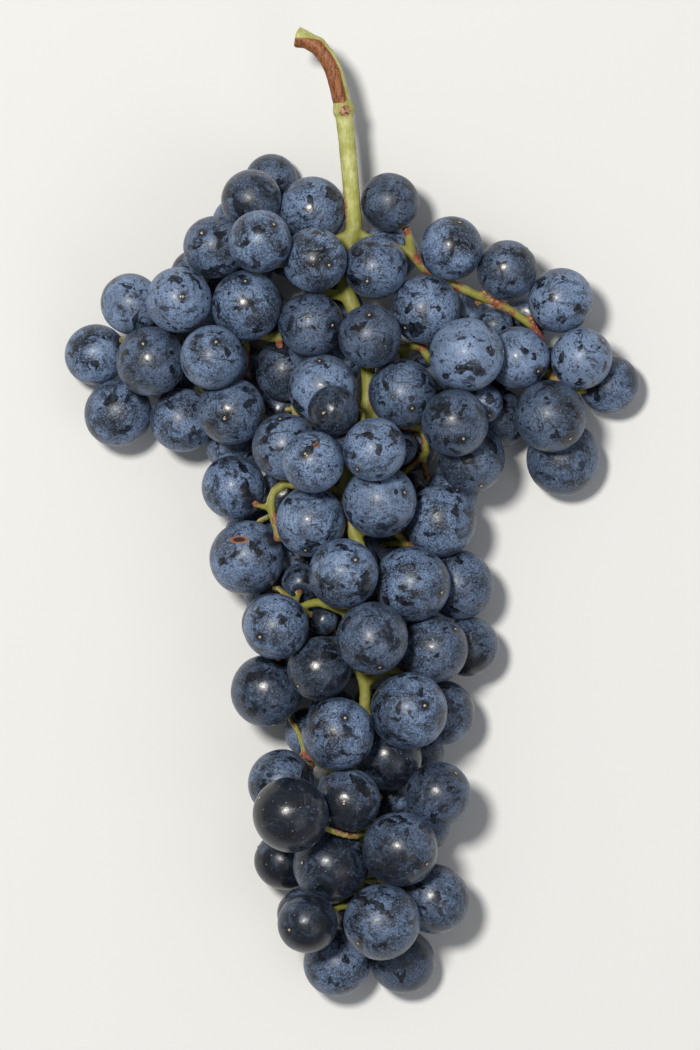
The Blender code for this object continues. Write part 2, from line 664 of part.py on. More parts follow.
def stalk_line(points, radius, berry, balls, fixed):
    """A run of stalk, smoothed, kept off the berries and thinned where it is tight."""
    near = [ball for ball in balls
            if min((p - Vector(ball[:3])).length for p in points) < ball[3] + NEAR_STALK]
    ends = (2 if berry is not None else 1, fixed)
    for _ in range(SMOOTHING_TURNS):
        for i in range(ends[0], len(points) - ends[1]):
            point = points[i].lerp(0.5 * (points[i - 1] + points[i + 1]), 0.5)
            for ball in near:
                away = point - Vector(ball[:3])
                short = ball[3] + STEM_GAP + radius - away.length
                if short > 0.0:
                    point += away.normalized() * (STALK_PUSH * short)
            points[i] = point
    points = thinned_out(points, ends[0])
    rooms = []
    for start, end in zip(points, points[1:]):
        rooms.append(min(room_at(start.lerp(end, k / 4), near, None) for k in range(1, 5)))
    rooms = [rooms[0]] + [min(pair) for pair in zip(rooms, rooms[1:])] + [rooms[-1]]
    radii = [max(LEAST_RADIUS, min(radius, air - STEM_GAP)) for air in rooms]
    if berry is not None:
        own = [n for n, ball in enumerate(near) if ball == balls[berry]][0]
        widths = (0.5 * RECEPTACLE_DIAMETER, radius)
        for i, width in enumerate(widths):
            radii[i] = max(LEAST_RADIUS, min(width, room_at(points[i], near, own) - STEM_GAP))
    if fixed == 1:
        points[-1] += (points[-1] - points[-2]).normalized() * (FORK_OVERLAP * radii[-1])
    if berry is None:
        points[0] += (points[0] - points[1]).normalized() * (FORK_OVERLAP * radii[0])
    return points, radii


def thinned_out(points, keep):
    """The points without those that lie almost on a straight line."""
    kept = points[:keep]
    rest = points[keep:]
    while len(rest) > 1:
        reach = 1
        while reach + 1 < len(rest) and straight(kept[-1], rest[:reach + 1]):
            reach += 1
        kept.append(rest[reach - 1])
        rest = rest[reach:]
    return kept + rest


def straight(start, points):
    """Whether the points between the first and last leave the chord only slightly."""
    chord = points[-1] - start
    for point in points[:-1]:
        along = max(0.0, min(1.0, (point - start).dot(chord) / chord.length_squared))
        if (start + chord * along - point).length > STRAIGHTNESS:
            return False
    return True


# ------------------------------------------------------------- making solids
def add_tube(mesh, points, radii, sides):
    """A closed tube through the points, as a shell of its own in the mesh."""
    frame = None
    rings = []
    for i, (point, radius) in enumerate(zip(points, radii)):
        before = points[max(i - 1, 0)]
        after = points[min(i + 1, len(points) - 1)]
        heading = (after - before).normalized()
        if frame is None:
            frame = heading.orthogonal().normalized()
        frame = (frame - heading * frame.dot(heading)).normalized()
        side = heading.cross(frame)
        rings.append([mesh.verts.new(point + radius * (frame * math.cos(a) + side * math.sin(a)))
                      for a in (math.tau * k / sides for k in range(sides))])
    for one, other in zip(rings, rings[1:]):
        for k in range(sides):
            mesh.faces.new((one[k], one[(k + 1) % sides], other[(k + 1) % sides], other[k]))
    mesh.faces.new(list(reversed(rings[0])))
    mesh.faces.new(rings[-1])


def add_ball(mesh, centre, radius, subdivisions):
    """A closed ball, as a shell of its own in the mesh."""
    made = bmesh.ops.create_icosphere(mesh, subdivisions=subdivisions, radius=radius)
    bmesh.ops.translate(mesh, verts=made["verts"], vec=centre)


def add_berry(mesh, centre, radius, corners):
    """A berry that stands on a facet, as a shell of its own in the mesh."""
    made = bmesh.ops.create_icosphere(mesh, subdivisions=2, radius=1.0)
    for vertex, corner in zip(made["verts"], corners):
        vertex.co = Vector(centre) + radius * Vector(corner)


def finished_object(name, mesh, material):
    """An object from a mesh in millimetres, in the scene in metres."""
    bmesh.ops.scale(mesh, verts=mesh.verts, vec=(MM, MM, MM))
    bmesh.ops.triangulate(mesh, faces=mesh.faces)
    data = bpy.data.meshes.new(name)
    mesh.to_mesh(data)
    mesh.free()
    thing = bpy.data.objects.new(name, data)
    thing.data.materials.append(material)
    bpy.context.scene.collection.objects.link(thing)
    return thing


def hidden_helper(name, mesh, material):
    """A shape that is only there to be joined onto another object."""
    helper = finished_object(name, mesh, material)
    helper.hide_render = True
    helper.display_type = "WIRE"
    return helper


def join_on(thing, helper):
    """Make a helper's shells one solid with an object."""
    union = thing.modifiers.new("grown_together", "BOOLEAN")
    union.operation = "UNION"
    union.solver = "EXACT"
    union.object = helper
    union.use_self = True


def make_material(name, colour, roughness):
    """A plain finish for one piece."""
    material = bpy.data.materials.new(name)
    material.use_nodes = True
    shader = material.node_tree.nodes["Principled BSDF"]
    shader.inputs["Base Color"].default_value = colour
    shader.inputs["Roughness"].default_value = roughness
    shader.inputs["Metallic"].default_value = 0.0
    return material


# ------------------------------------------------------------------ the pieces
def region_of(x, y):
    """The part of the bunch that a place belongs to."""
    if y > CROWN_FROM:
        return "crown"
    if y > SHOULDERS_FROM:
        if x < -SHOULDER_SIDE:
            return "left_shoulder"
        if x > SHOULDER_SIDE:
            return "right_shoulder"
        return "middle"
    if y > WAIST_FROM:
        return "waist"
    return "tail"


def make_berries(berries, drawn, groups, links):
    """Every piece of the bunch that is a berry, or a few pressed together.

    A piece is named by its drawn place, so that it keeps its name at any size.
    """
    corners = icosphere_corners()
    counts = {}
    for group in sorted(groups, key=lambda g: (-drawn[g[0]][1], drawn[g[0]][0])):
        middle = np.mean([drawn[i][:2] for i in group], axis=0)
        region = region_of(*middle)
        counts[region] = counts.get(region, 0) + 1
        kind = "berry" if len(group) == 1 else "berries"
        name = f"{region}_{kind}_{counts[region]:02d}"
        material = make_material(name + "_skin", BERRY_COLOUR, BERRY_ROUGHNESS)
        mesh = bmesh.new()
        add_berry(mesh, berries[group[0]][:3], berries[group[0]][3], corners)
        thing = finished_object(name, mesh, material)
        thing.data.shade_smooth()
        if len(group) > 1:
            others = bmesh.new()
            for i in group[1:]:
                add_berry(others, berries[i][:3], berries[i][3], corners)
            for i, j in links:
                if i in group:
                    ends = [Vector(berries[i][:3]), Vector(berries[j][:3])]
                    add_tube(others, ends, [0.5 * JOIN_DIAMETER] * 2, JOIN_SIDES)
            join_on(thing, hidden_helper(name + "_more", others, material))


def make_stem(branches, stalks):
    """The whole stem as one solid, from the cut end to every berry's stalk."""
    material = make_material("stem_wood", STEM_COLOUR, STEM_ROUGHNESS)
    points, radii = branch_line(branches["rachis"])
    last = PEDUNCLE[-1]
    free = [points[0] + Vector((p[0] - last[0], p[1] - last[1], p[2])) for p in PEDUNCLE[:-1]]
    free_radii = [0.5 * CUT_END_DIAMETER] + [0.5 * PEDUNCLE_DIAMETER] * (len(free) - 1)
    mesh = bmesh.new()
    add_tube(mesh, free + points, free_radii + radii, RACHIS_SIDES)
    add_ball(mesh, free[KNUCKLE_PLACE], 0.5 * KNUCKLE_DIAMETER, 2)
    for name, line in branches.items():
        if name != "rachis":
            add_tube(mesh, *branch_line(line), BRANCH_SIDES)
    for points, radii in stalks:
        add_tube(mesh, points, radii, STALK_SIDES)
    stem = finished_object("stem", mesh, material)
    skin = stem.modifiers.new("grown_together", "REMESH")
    skin.mode = "VOXEL"
    skin.voxel_size = SKIN_STEP * MM
    fewer = stem.modifiers.new("fewer_faces", "DECIMATE")
    fewer.ratio = SKIN_SHARE
    fewer.use_collapse_triangulate = True


def branch_line(line):
    """A branch's points and radii, without those on a nearly straight line."""
    by_place = {tuple(Vector(sphere[:3])): sphere[3] for sphere in line}
    points = thinned_out([Vector(sphere[:3]) for sphere in line], 1)
    return points, [by_place[tuple(point)] for point in points]


def stand_on_origin():
    """Hang every piece on one empty, so that the origin is under the bunch's middle."""
    depsgraph = bpy.context.evaluated_depsgraph_get()
    pieces = [thing for thing in bpy.data.objects if not thing.hide_render]
    corners = []
    for piece in pieces:
        mesh = piece.evaluated_get(depsgraph).to_mesh()
        corners += [vertex.co.copy() for vertex in mesh.vertices]
    low = [min(corner[k] for corner in corners) for k in range(3)]
    high = [max(corner[k] for corner in corners) for k in range(3)]
    middle = bpy.data.objects.new("bunch", None)
    middle.location = (-0.5 * (low[0] + high[0]), -0.5 * (low[1] + high[1]), -low[2])
    bpy.context.scene.collection.objects.link(middle)
    for thing in bpy.data.objects:
        if thing is not middle:
            thing.parent = middle


def main():
    """Build the bunch."""
    for thing in list(bpy.data.objects):
        bpy.data.objects.remove(thing, do_unlink=True)
    drawn, branches = drawn_bunch()
    groups, links = shared_pieces(drawn)
    berries, branches = resized_bunch(drawn, branches, groups, links)
    stalks = stalk_lines(berries, branches, links)
    if berries is not drawn:
        berries = clear_of_stalks(berries, stalks)
    make_berries(berries, drawn, groups, links)
    make_stem(branches, stalks)
    stand_on_origin()


main()
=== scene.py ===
"""A bunch of dark wine grapes, cut from the vine and laid on its back on a pale floor.

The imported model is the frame. Each solid of the frame gives one or more berries,
and every berry becomes a skin of its own: oval, pressed flat where it meets its
neighbours, with the scar of the flower at one end and the stalk's socket at the
other. The stem keeps the run of its solid and gets a skin of bark and green rind.
"""

import json
import logging
import math
from dataclasses import dataclass, field
from enum import Enum

import bpy
import numpy as np
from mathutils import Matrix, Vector, noise


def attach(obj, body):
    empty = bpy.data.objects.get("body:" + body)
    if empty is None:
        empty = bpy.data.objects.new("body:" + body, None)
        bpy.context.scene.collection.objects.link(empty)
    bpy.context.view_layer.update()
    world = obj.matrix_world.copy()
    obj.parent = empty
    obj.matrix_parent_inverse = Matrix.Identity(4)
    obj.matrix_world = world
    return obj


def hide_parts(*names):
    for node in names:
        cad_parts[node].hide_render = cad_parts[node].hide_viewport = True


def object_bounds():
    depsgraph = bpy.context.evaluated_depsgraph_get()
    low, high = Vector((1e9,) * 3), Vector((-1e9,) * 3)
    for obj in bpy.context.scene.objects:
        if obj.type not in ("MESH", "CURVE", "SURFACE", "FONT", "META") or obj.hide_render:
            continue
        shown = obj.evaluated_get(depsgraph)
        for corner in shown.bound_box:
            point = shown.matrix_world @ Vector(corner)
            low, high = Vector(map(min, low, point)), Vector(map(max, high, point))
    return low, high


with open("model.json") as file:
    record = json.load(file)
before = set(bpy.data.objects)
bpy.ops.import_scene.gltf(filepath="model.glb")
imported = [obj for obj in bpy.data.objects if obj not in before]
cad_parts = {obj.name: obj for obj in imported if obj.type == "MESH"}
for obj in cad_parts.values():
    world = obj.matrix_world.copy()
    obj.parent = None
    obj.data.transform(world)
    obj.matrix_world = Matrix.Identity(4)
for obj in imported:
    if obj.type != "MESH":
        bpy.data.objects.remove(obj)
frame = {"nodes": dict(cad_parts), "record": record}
CAD_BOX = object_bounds()

MM = 0.001
STEM_NODE = "stem"
FAR_AWAY = 99.0                     # mm
LETTERS = "abcd"                    # the berries of one solid, in order
MIDDLE = 0.5                        # what a pattern's values lie around
SRGB_KNEE = 0.04045                 # below it, an sRGB value is linear
NEXT_TO_NOTHING = 1e-10 * MM        # volume of four corners that lie in one plane

# What a node is set to.
ADD = {"operation": "ADD"}
SUBTRACT = {"operation": "SUBTRACT"}
MULTIPLY = {"operation": "MULTIPLY"}
ADD_SHARE = {"operation": "MULTIPLY_ADD"}
LARGER = {"operation": "MAXIMUM"}
WITHOUT_SIGN = {"operation": "ABSOLUTE"}
SMOOTH = {"interpolation_type": "SMOOTHSTEP"}
COLOURS = {"data_type": "RGBA"}

Socket = bpy.types.NodeSocket
Tree = bpy.types.NodeTree
Points = dict[str, Socket]          # what a mesh's points hold, by name

log = logging.getLogger("grapes")


# ------------------------------------------------------------------ small tools
@dataclass(frozen=True)
class Step:
    """A soft step in a value: where it is, and what it gives before and after."""

    low: float
    high: float                     # below low for a step that is read downwards
    start: float = 0.0
    end: float = 1.0

    def on(self, value: Socket) -> tuple[str, dict, dict]:
        """The kind, inputs and settings of its node, for a value to step."""
        return "MapRange", {"Value": value, "From Min": self.low, "From Max": self.high,
                            "To Min": self.start, "To Max": self.end}, SMOOTH


@dataclass(frozen=True)
class Grain:
    """A cloudy pattern, with values around one half."""

    size: float                     # mm, its largest clouds
    detail: float = 3.0             # how many finer sizes it also has
    roughness: float = 0.55         # how strong those are
    distortion: float = 0.0         # how far the clouds are drawn out of shape

    def on(self, place: Socket) -> tuple[str, dict]:
        """The kind and inputs of its node, for a place in millimetres."""
        return "TexNoise", {"Vector": place, "Scale": 1.0 / self.size, "Detail": self.detail,
                            "Roughness": self.roughness, "Distortion": self.distortion}


def linear(colour: str) -> tuple[float, float, float, float]:
    """Turns an sRGB hex colour to the linear colour that a shader takes.

    Args:
        colour: The colour as "#RRGGBB".

    Returns:
        Red, green, blue and an opaque alpha.
    """
    parts = (int(colour[i:i + 2], 16) / 255.0 for i in (1, 3, 5))
    red, green, blue = (c / 12.92 if c <= SRGB_KNEE else ((c + 0.055) / 1.055) ** 2.4
                        for c in parts)
    return red, green, blue, 1.0


def plug(tree: Tree, node: bpy.types.Node, inputs: dict) -> None:
    """Links a node's sockets and sets their values.

    Args:
        tree: The node tree.
        node: The node.
        inputs: What goes into its sockets, by name or number: a socket, a value or a hex colour.
    """
    for key, value in inputs.items():
        if isinstance(value, Socket):
            tree.links.new(value, node.inputs[key])
        else:
            node.inputs[key].default_value = linear(value) if isinstance(value, str) else value


def add_node(tree: Tree, kind: str, inputs: dict, settings: dict | None = None,
             output: int | str = 0) -> Socket:
    """Adds a shader node with its settings and links.

    Args:
        tree: The node tree.
        kind: The kind of node, as in "ShaderNode" + kind.
        inputs: What goes into its sockets, as plug takes it.
        settings: The node's own properties by name.
        output: The output that is wanted, by name or number.

    Returns:
        That output.
    """
    node = tree.nodes.new("ShaderNode" + kind)
    for name, value in (settings or {}).items():
        setattr(node, name, value)
    plug(tree, node, inputs)
    return node.outputs[output]


def painted(tree: Tree, ground: Socket | str,
            *coats: tuple[Socket, Step | None, Socket | str]) -> Socket:
    """Lays coats of colour over a ground, one after the other.

    Args:
        tree: The node tree.
        ground: The colour below.
        coats: For each coat, what it follows, the step at which it shows (none if what it
            follows already says how much of it shows), and its colour.

    Returns:
        The colour of the whole.
    """
    for follows, step, coat in coats:
        share = add_node(tree, *step.on(follows)) if step else follows
        ground = add_node(tree, "Mix", {0: share, 6: ground, 7: coat}, COLOURS, 2)
    return ground


def held_by_points(tree: Tree, names: tuple[str, ...], output: str = "Fac") -> Points:
    """Reads what a mesh's points hold.

    Args:
        tree: The node tree.
        names: The names of the values.
        output: "Fac" for numbers, "Vector" for places.

    Returns:
        The values by name.
    """
    return {name: add_node(tree, "Attribute", {}, {"attribute_name": name}, output)
            for name in names}


def give(mesh: bpy.types.Mesh, name: str, values: np.ndarray) -> None:
    """Stores a value or a vector for each point of a mesh.

    Args:
        mesh: The mesh.
        name: The name that the material reads it by.
        values: One number, or three, for each point.
    """
    kind, key = ("FLOAT", "value") if values.ndim == 1 else ("FLOAT_VECTOR", "vector")
    mesh.attributes.new(name, kind, "POINT").data.foreach_set(
        key, np.ascontiguousarray(values, dtype=np.float32).ravel())


def ramp(values: np.ndarray, start: float, length: float) -> np.ndarray:
    """A straight rise from 0 to 1.

    Args:
        values: What is read.
        start: The value at which it starts.
        length: How much further on it ends, less than nothing for a rise towards smaller values.

    Returns:
        The rise, held at 0 and 1 beyond its ends.
    """
    return np.clip((values - start) / length, 0.0, 1.0)


# ------------------------------------------------------------ reading the frame
@dataclass(frozen=True)
class Ball:
    """A berry as its solid gives it, in metres."""

    node: str
    number: int
    centre: np.ndarray
    radius: float


@dataclass
class BallFinder:
    """Finds the round berries in a solid that may hold several, pressed together."""

    tolerance: float = 0.03 * MM        # how far a corner may be from a berry's ball
    least: float = 2.5 * MM             # the smallest berry's radius
    most: float = 12.0 * MM             # the largest berry's radius
    neighbours: int = 6                 # corners around each one that are tried with it
    decimals: int = 7                   # of a metre, by which two corners are the same

    def balls(self, node: str, count: int) -> list[Ball]:
        """Finds a node's berries.

        Args:
            node: The name of the solid.
            count: How many berries it holds.

        Returns:
            The berries, from the one with the most corners left to the one with the fewest.
        """
        vertices = frame["nodes"][node].data.vertices
        corners = np.unique(np.round([v.co[:] for v in vertices], self.decimals), axis=0)
        found = []
        while len(found) < count:
            centre, radius, on_it = self.best_ball(corners)
            found.append(Ball(node, len(found), centre, radius))
            corners = corners[~on_it]
        return found

    def best_ball(self, corners: np.ndarray) -> tuple[np.ndarray, float, np.ndarray]:
        """Finds the ball that most corners lie on.

        Args:
            corners: The corners that no berry has claimed yet.

        Returns:
            Its centre, its radius, and which of the corners lie on it.
        """
        far = np.linalg.norm(corners[:, None] - corners[None], axis=2)
        near = np.argsort(far, axis=1)[:, 1:self.neighbours + 1]
        best = (0, None, 0.0, None)
        for first in range(len(corners)):
            for skip in range(self.neighbours - 2):
                picked = near[first, [skip, skip + 1, skip + 2]]
                sides = 2.0 * (corners[picked] - corners[first])
                if abs(np.linalg.det(sides)) < NEXT_TO_NOTHING:
                    continue
                sums = (corners[picked] ** 2).sum(axis=1) - (corners[first] ** 2).sum()
                centre = np.linalg.solve(sides, sums)
                radius = float(np.linalg.norm(corners[first] - centre))
                if not self.least < radius < self.most:
                    continue
                off = np.linalg.norm(corners - centre, axis=1) - radius
                on_it = np.abs(off) < self.tolerance
                if on_it.sum() > best[0]:
                    best = (int(on_it.sum()), centre, radius, on_it)
        if best[1] is None:
            raise ValueError("no ball fits the corners that are left")
        return best[1:]


# --------------------------------------------------------------------- finishes
@dataclass(frozen=True)
class BerrySkin:
    """Grape skin under bloom.

    The skin itself is taut, smooth and nearly black. It grows a coat of fine wax, the
    bloom, that scatters light: it gives the eye a soft, dusty blue with no clear
    reflection. Where leaves and neighbours have rubbed the bloom off, the dark skin
    shows through in sharp-edged patches with a duller shine.
    """

    bloom: str = "#647A9C"              # wax as it has grown
    thick_bloom: str = "#859ABB"        # wax that has gathered in clouds
    thin_bloom: str = "#262E3B"         # the skin's dark through a thin coat
    skin: str = "#0A0C11"               # bare skin
    warm_skin: str = "#171113"          # bare skin that the sun has browned
    scar: str = "#BFA981"               # the dry tip of the flower's pistil
    cork: str = "#8C5F45"               # the raised rim of a healed wound
    wound: str = "#2A1814"              # its floor
    pore: str = "#93A1BB"               # a pale breathing pore
    sheen: str = "#8FA6D4"              # the bloom's glow where it is seen edge on

    # How the bloom is rubbed off.
    wear_share: float = 0.52            # how much a berry's own wear thins its coat
    mottle_share: float = 0.35          # and how much the mottles do
    worn_clouds: Grain = Grain(6.0, 5.0, 0.6, 0.6)      # over a third of a berry
    worn_mottle: Grain = Grain(0.9, 4.0, 0.65)
    worn_thin: Step = Step(0.80, 1.12, 0.0, 0.95)
    rubs: Grain = Grain(3.9, 5.0, 0.46, 0.35)           # patches of 1 to 3 mm
    rub_limit: Step = Step(0.0, 1.0, 0.565, 0.610)      # rarer where the bloom is whole
    rub_edge: Step = Step(-0.012, 0.020)
    rub_strength: Step = Step(0.34, 0.66, 1.0, 0.80)
    smears: Grain = Grain(2.4, 7.0, 0.72, 0.8)          # strokes of leaves and neighbours
    smear_run: tuple = (0.35, 1.0, 0.8)
    smear_edge: Step = Step(0.53, 0.62, 0.0, 0.82)
    flecks: Grain = Grain(1.0, 4.0, 0.6)                # where the wax has flaked
    fleck_edge: Step = Step(0.61, 0.66, 0.0, 0.95)
    scratches: Grain = Grain(0.5, 2.0, 0.5, 0.9)        # fine lines, half a millimetre across
    scratch_run: tuple = (1.0, 0.12, 0.45)
    scratch_edge: Step = Step(0.60, 0.68, 0.0, 0.75)
    raggedness: float = 2.2                             # mm, of the bare rings at both ends
    halo: Step = Step(2.4, 0.6, 0.0, 0.88)              # mm from the flower's scar
    collar: Step = Step(3.4, 1.8, 0.0, 0.8)             # mm from the stalk's socket

    # How the wax lies.
    clouds: Grain = Grain(6.0, 4.0, 0.55, 0.3)
    cloud_floor: Step = Step(0.36, 0.56)
    cloud_top: Step = Step(0.50, 0.70, 0.0, 0.8)
    mottle: Grain = Grain(0.9, 5.0, 0.7)                # unevenness of about a millimetre
    mottle_floor: Step = Step(0.48, 0.32, 0.0, 0.60)
    mottle_top: Step = Step(0.54, 0.70, 0.0, 0.50)
    dust: Grain = Grain(0.42, 3.0, 0.7)                 # the wax's own grain
    dust_floor: Step = Step(0.50, 0.40, 0.0, 0.72)
    dust_top: Step = Step(0.52, 0.64, 0.0, 0.60)
    dark_berry: Step = Step(0.5, 0.0, 0.0, 0.55)
    pale_berry: Step = Step(0.5, 1.0, 0.0, 0.45)
    browning: Grain = Grain(5.0, 2.0)
    browned: Step = Step(0.50, 0.64)

    # Pores, scar and wounds.
    pore_spacing: float = 1.7                           # mm
    pore_share: float = 0.6
    pore_present: Step = Step(0.55, 0.60)
    pore_edge: Step = Step(0.13, 0.06)                  # share of the spacing
    wound_edge: Step = Step(0.12, -0.10)                # mm from its outline
    rim_edge: Step = Step(0.26, 0.10, 0.0, 0.9)
    scar_edge: Step = Step(0.40, 0.22, 0.0, 0.9)        # mm from its middle

    # Shine and relief.
    gloss: Step = Step(0.0, 1.0, 0.47, 0.26)            # roughness, from dusty to bare
    refraction: float = 1.45                            # plant wax
    specular: float = 0.55
    coat: float = 0.04
    coat_roughness: float = 0.15
    sheen_weight: float = 0.07
    sheen_roughness: float = 0.40
    fine_relief: Grain = Grain(0.5, 3.0, 0.6)
    fine_height: float = 0.5
    broad_relief: Grain = Grain(3.2, 2.0)
    broad_height: float = 1.6
    bloom_height: float = 0.18
    relief_strength: float = 0.5
    relief_height: float = 0.12                         # mm

    def make(self) -> bpy.types.Material:
        """Builds the material, which every berry shares: its points say how each one differs.

        Returns:
            The material.
        """
        material = bpy.data.materials.new("grape_skin_with_bloom")
        material.use_nodes = True
        tree = material.node_tree
        place = held_by_points(tree, ("skin_place",), "Vector")["skin_place"]
        held = held_by_points(tree, ("bloom", "tone", "from_scar", "from_socket", "from_mark"))
        bare = self.bare(tree, place, held)
        plug(tree, tree.nodes["Principled BSDF"], {
            "Base Color": self.colour(tree, place, held, bare),
            "Roughness": add_node(tree, *self.gloss.on(bare)),
            "IOR": self.refraction,
            "Specular IOR Level": self.specular,
            "Coat Weight": self.coat,
            "Coat Roughness": self.coat_roughness,
            "Sheen Weight": self.sheen_weight,
            "Sheen Roughness": self.sheen_roughness,
            "Sheen Tint": self.sheen,
            "Normal": self.relief(tree, place, bare),
        })
        return material

    def bare(self, tree: Tree, place: Socket, held: Points) -> Socket:
        """Works out where the bloom is rubbed off.

        Args:
            tree: The node tree.
            place: Where on the berry, in millimetres.
            held: The values that the berry's points hold.

        Returns:
            From 0 where the bloom is whole to 1 where the skin is bare.
        """
        bloom = held["bloom"]
        mottle = add_node(tree, *self.worn_mottle.on(place))
        thinned = add_node(tree, *self.worn_clouds.on(place))
        wear = add_node(tree, "Math", {0: 1.0, 1: bloom}, SUBTRACT)
        for value, share in ((wear, self.wear_share), (mottle, self.mottle_share)):
            thinned = add_node(tree, "Math", {0: value, 1: share, 2: thinned}, ADD_SHARE)
        limit = add_node(tree, *self.rub_limit.on(bloom))
        rubs = add_node(tree, *self.rubs.on(place))
        edge = add_node(tree, "Math", {0: rubs, 1: limit}, SUBTRACT)
        whole = add_node(tree, "Math", {0: add_node(tree, *self.rub_edge.on(edge)),
                                        1: add_node(tree, *self.rub_strength.on(mottle))}, MULTIPLY)
        smeared = add_node(tree, "VectorMath", {0: place, 1: self.smear_run}, MULTIPLY)
        scratched = add_node(tree, "VectorMath", {0: place, 1: self.scratch_run}, MULTIPLY)
        ragged = add_node(tree, "Math", {0: mottle, 1: self.raggedness,
                                         2: -MIDDLE * self.raggedness}, ADD_SHARE)
        for value, step in (
                (thinned, self.worn_thin),
                (add_node(tree, *self.smears.on(smeared)), self.smear_edge),
                (add_node(tree, *self.flecks.on(place)), self.fleck_edge),
                (add_node(tree, *self.scratches.on(scratched)), self.scratch_edge),
                (add_node(tree, "Math", {0: held["from_scar"], 1: ragged}, ADD), self.halo),
                (add_node(tree, "Math", {0: held["from_socket"], 1: ragged}, ADD), self.collar)):
            worn = add_node(tree, *step.on(value))
            whole = add_node(tree, "Math", {0: whole, 1: worn}, LARGER)
        return whole

    def colour(self, tree: Tree, place: Socket, held: Points, bare: Socket) -> Socket:
        """Mixes the colour of the skin.

        Args:
            tree: The node tree.
            place: Where on the berry, in millimetres.
            held: The values that the berry's points hold.
            bare: Where the skin is bare.

        Returns:
            The colour.
        """
        clouds, mottle, dust, brown = (
            add_node(tree, *grain.on(place))
            for grain in (self.clouds, self.mottle, self.dust, self.browning))
        wax = painted(tree, self.thin_bloom,
                      (clouds, self.cloud_floor, self.bloom),
                      (clouds, self.cloud_top, self.thick_bloom),
                      (mottle, self.mottle_floor, self.thin_bloom),
                      (mottle, self.mottle_top, self.thick_bloom),
                      (dust, self.dust_floor, self.thin_bloom),
                      (dust, self.dust_top, self.thick_bloom),
                      (held["tone"], self.dark_berry, self.thin_bloom),
                      (held["tone"], self.pale_berry, self.thick_bloom))
        skin = painted(tree, self.skin, (brown, self.browned, self.warm_skin))
        rim = add_node(tree, "Math", {0: held["from_mark"]}, WITHOUT_SIGN)
        return painted(tree, wax,
                       (bare, None, skin),
                       (self.pores(tree, place), None, self.pore),
                       (held["from_mark"], self.wound_edge, self.wound),
                       (rim, self.rim_edge, self.cork),
                       (held["from_scar"], self.scar_edge, self.scar))

    def pores(self, tree: Tree, place: Socket) -> Socket:
        """Scatters the pale pores.

        Args:
            tree: The node tree.
            place: Where on the berry, in millimetres.

        Returns:
            How much of a pore shows.
        """
        far = add_node(tree, "TexVoronoi", {"Vector": place, "Scale": 1.0 / self.pore_spacing,
                                            "Randomness": 1.0}, {"feature": "F1"}, "Distance")
        share = self.pore_share
        for value, step in ((far, self.pore_edge), (far.node.outputs["Color"], self.pore_present)):
            shown = add_node(tree, *step.on(value))
            share = add_node(tree, "Math", {0: shown, 1: share}, MULTIPLY)
        return share

    def relief(self, tree: Tree, place: Socket, bare: Socket) -> Socket:
        """Gives the bloom its thickness and the skin a faint unevenness.

        Args:
            tree: The node tree.
            place: Where on the berry, in millimetres.
            bare: Where the skin is bare.

        Returns:
            The surface's direction.
        """
        height = 0.0
        for value, share in ((add_node(tree, *self.fine_relief.on(place)), self.fine_height),
                             (add_node(tree, *self.broad_relief.on(place)), self.broad_height),
                             (bare, -self.bloom_height)):
            height = add_node(tree, "Math", {0: value, 1: share, 2: height}, ADD_SHARE)
        return add_node(tree, "Bump", {"Strength": self.relief_strength, "Height": height,
                                       "Distance": self.relief_height * MM})


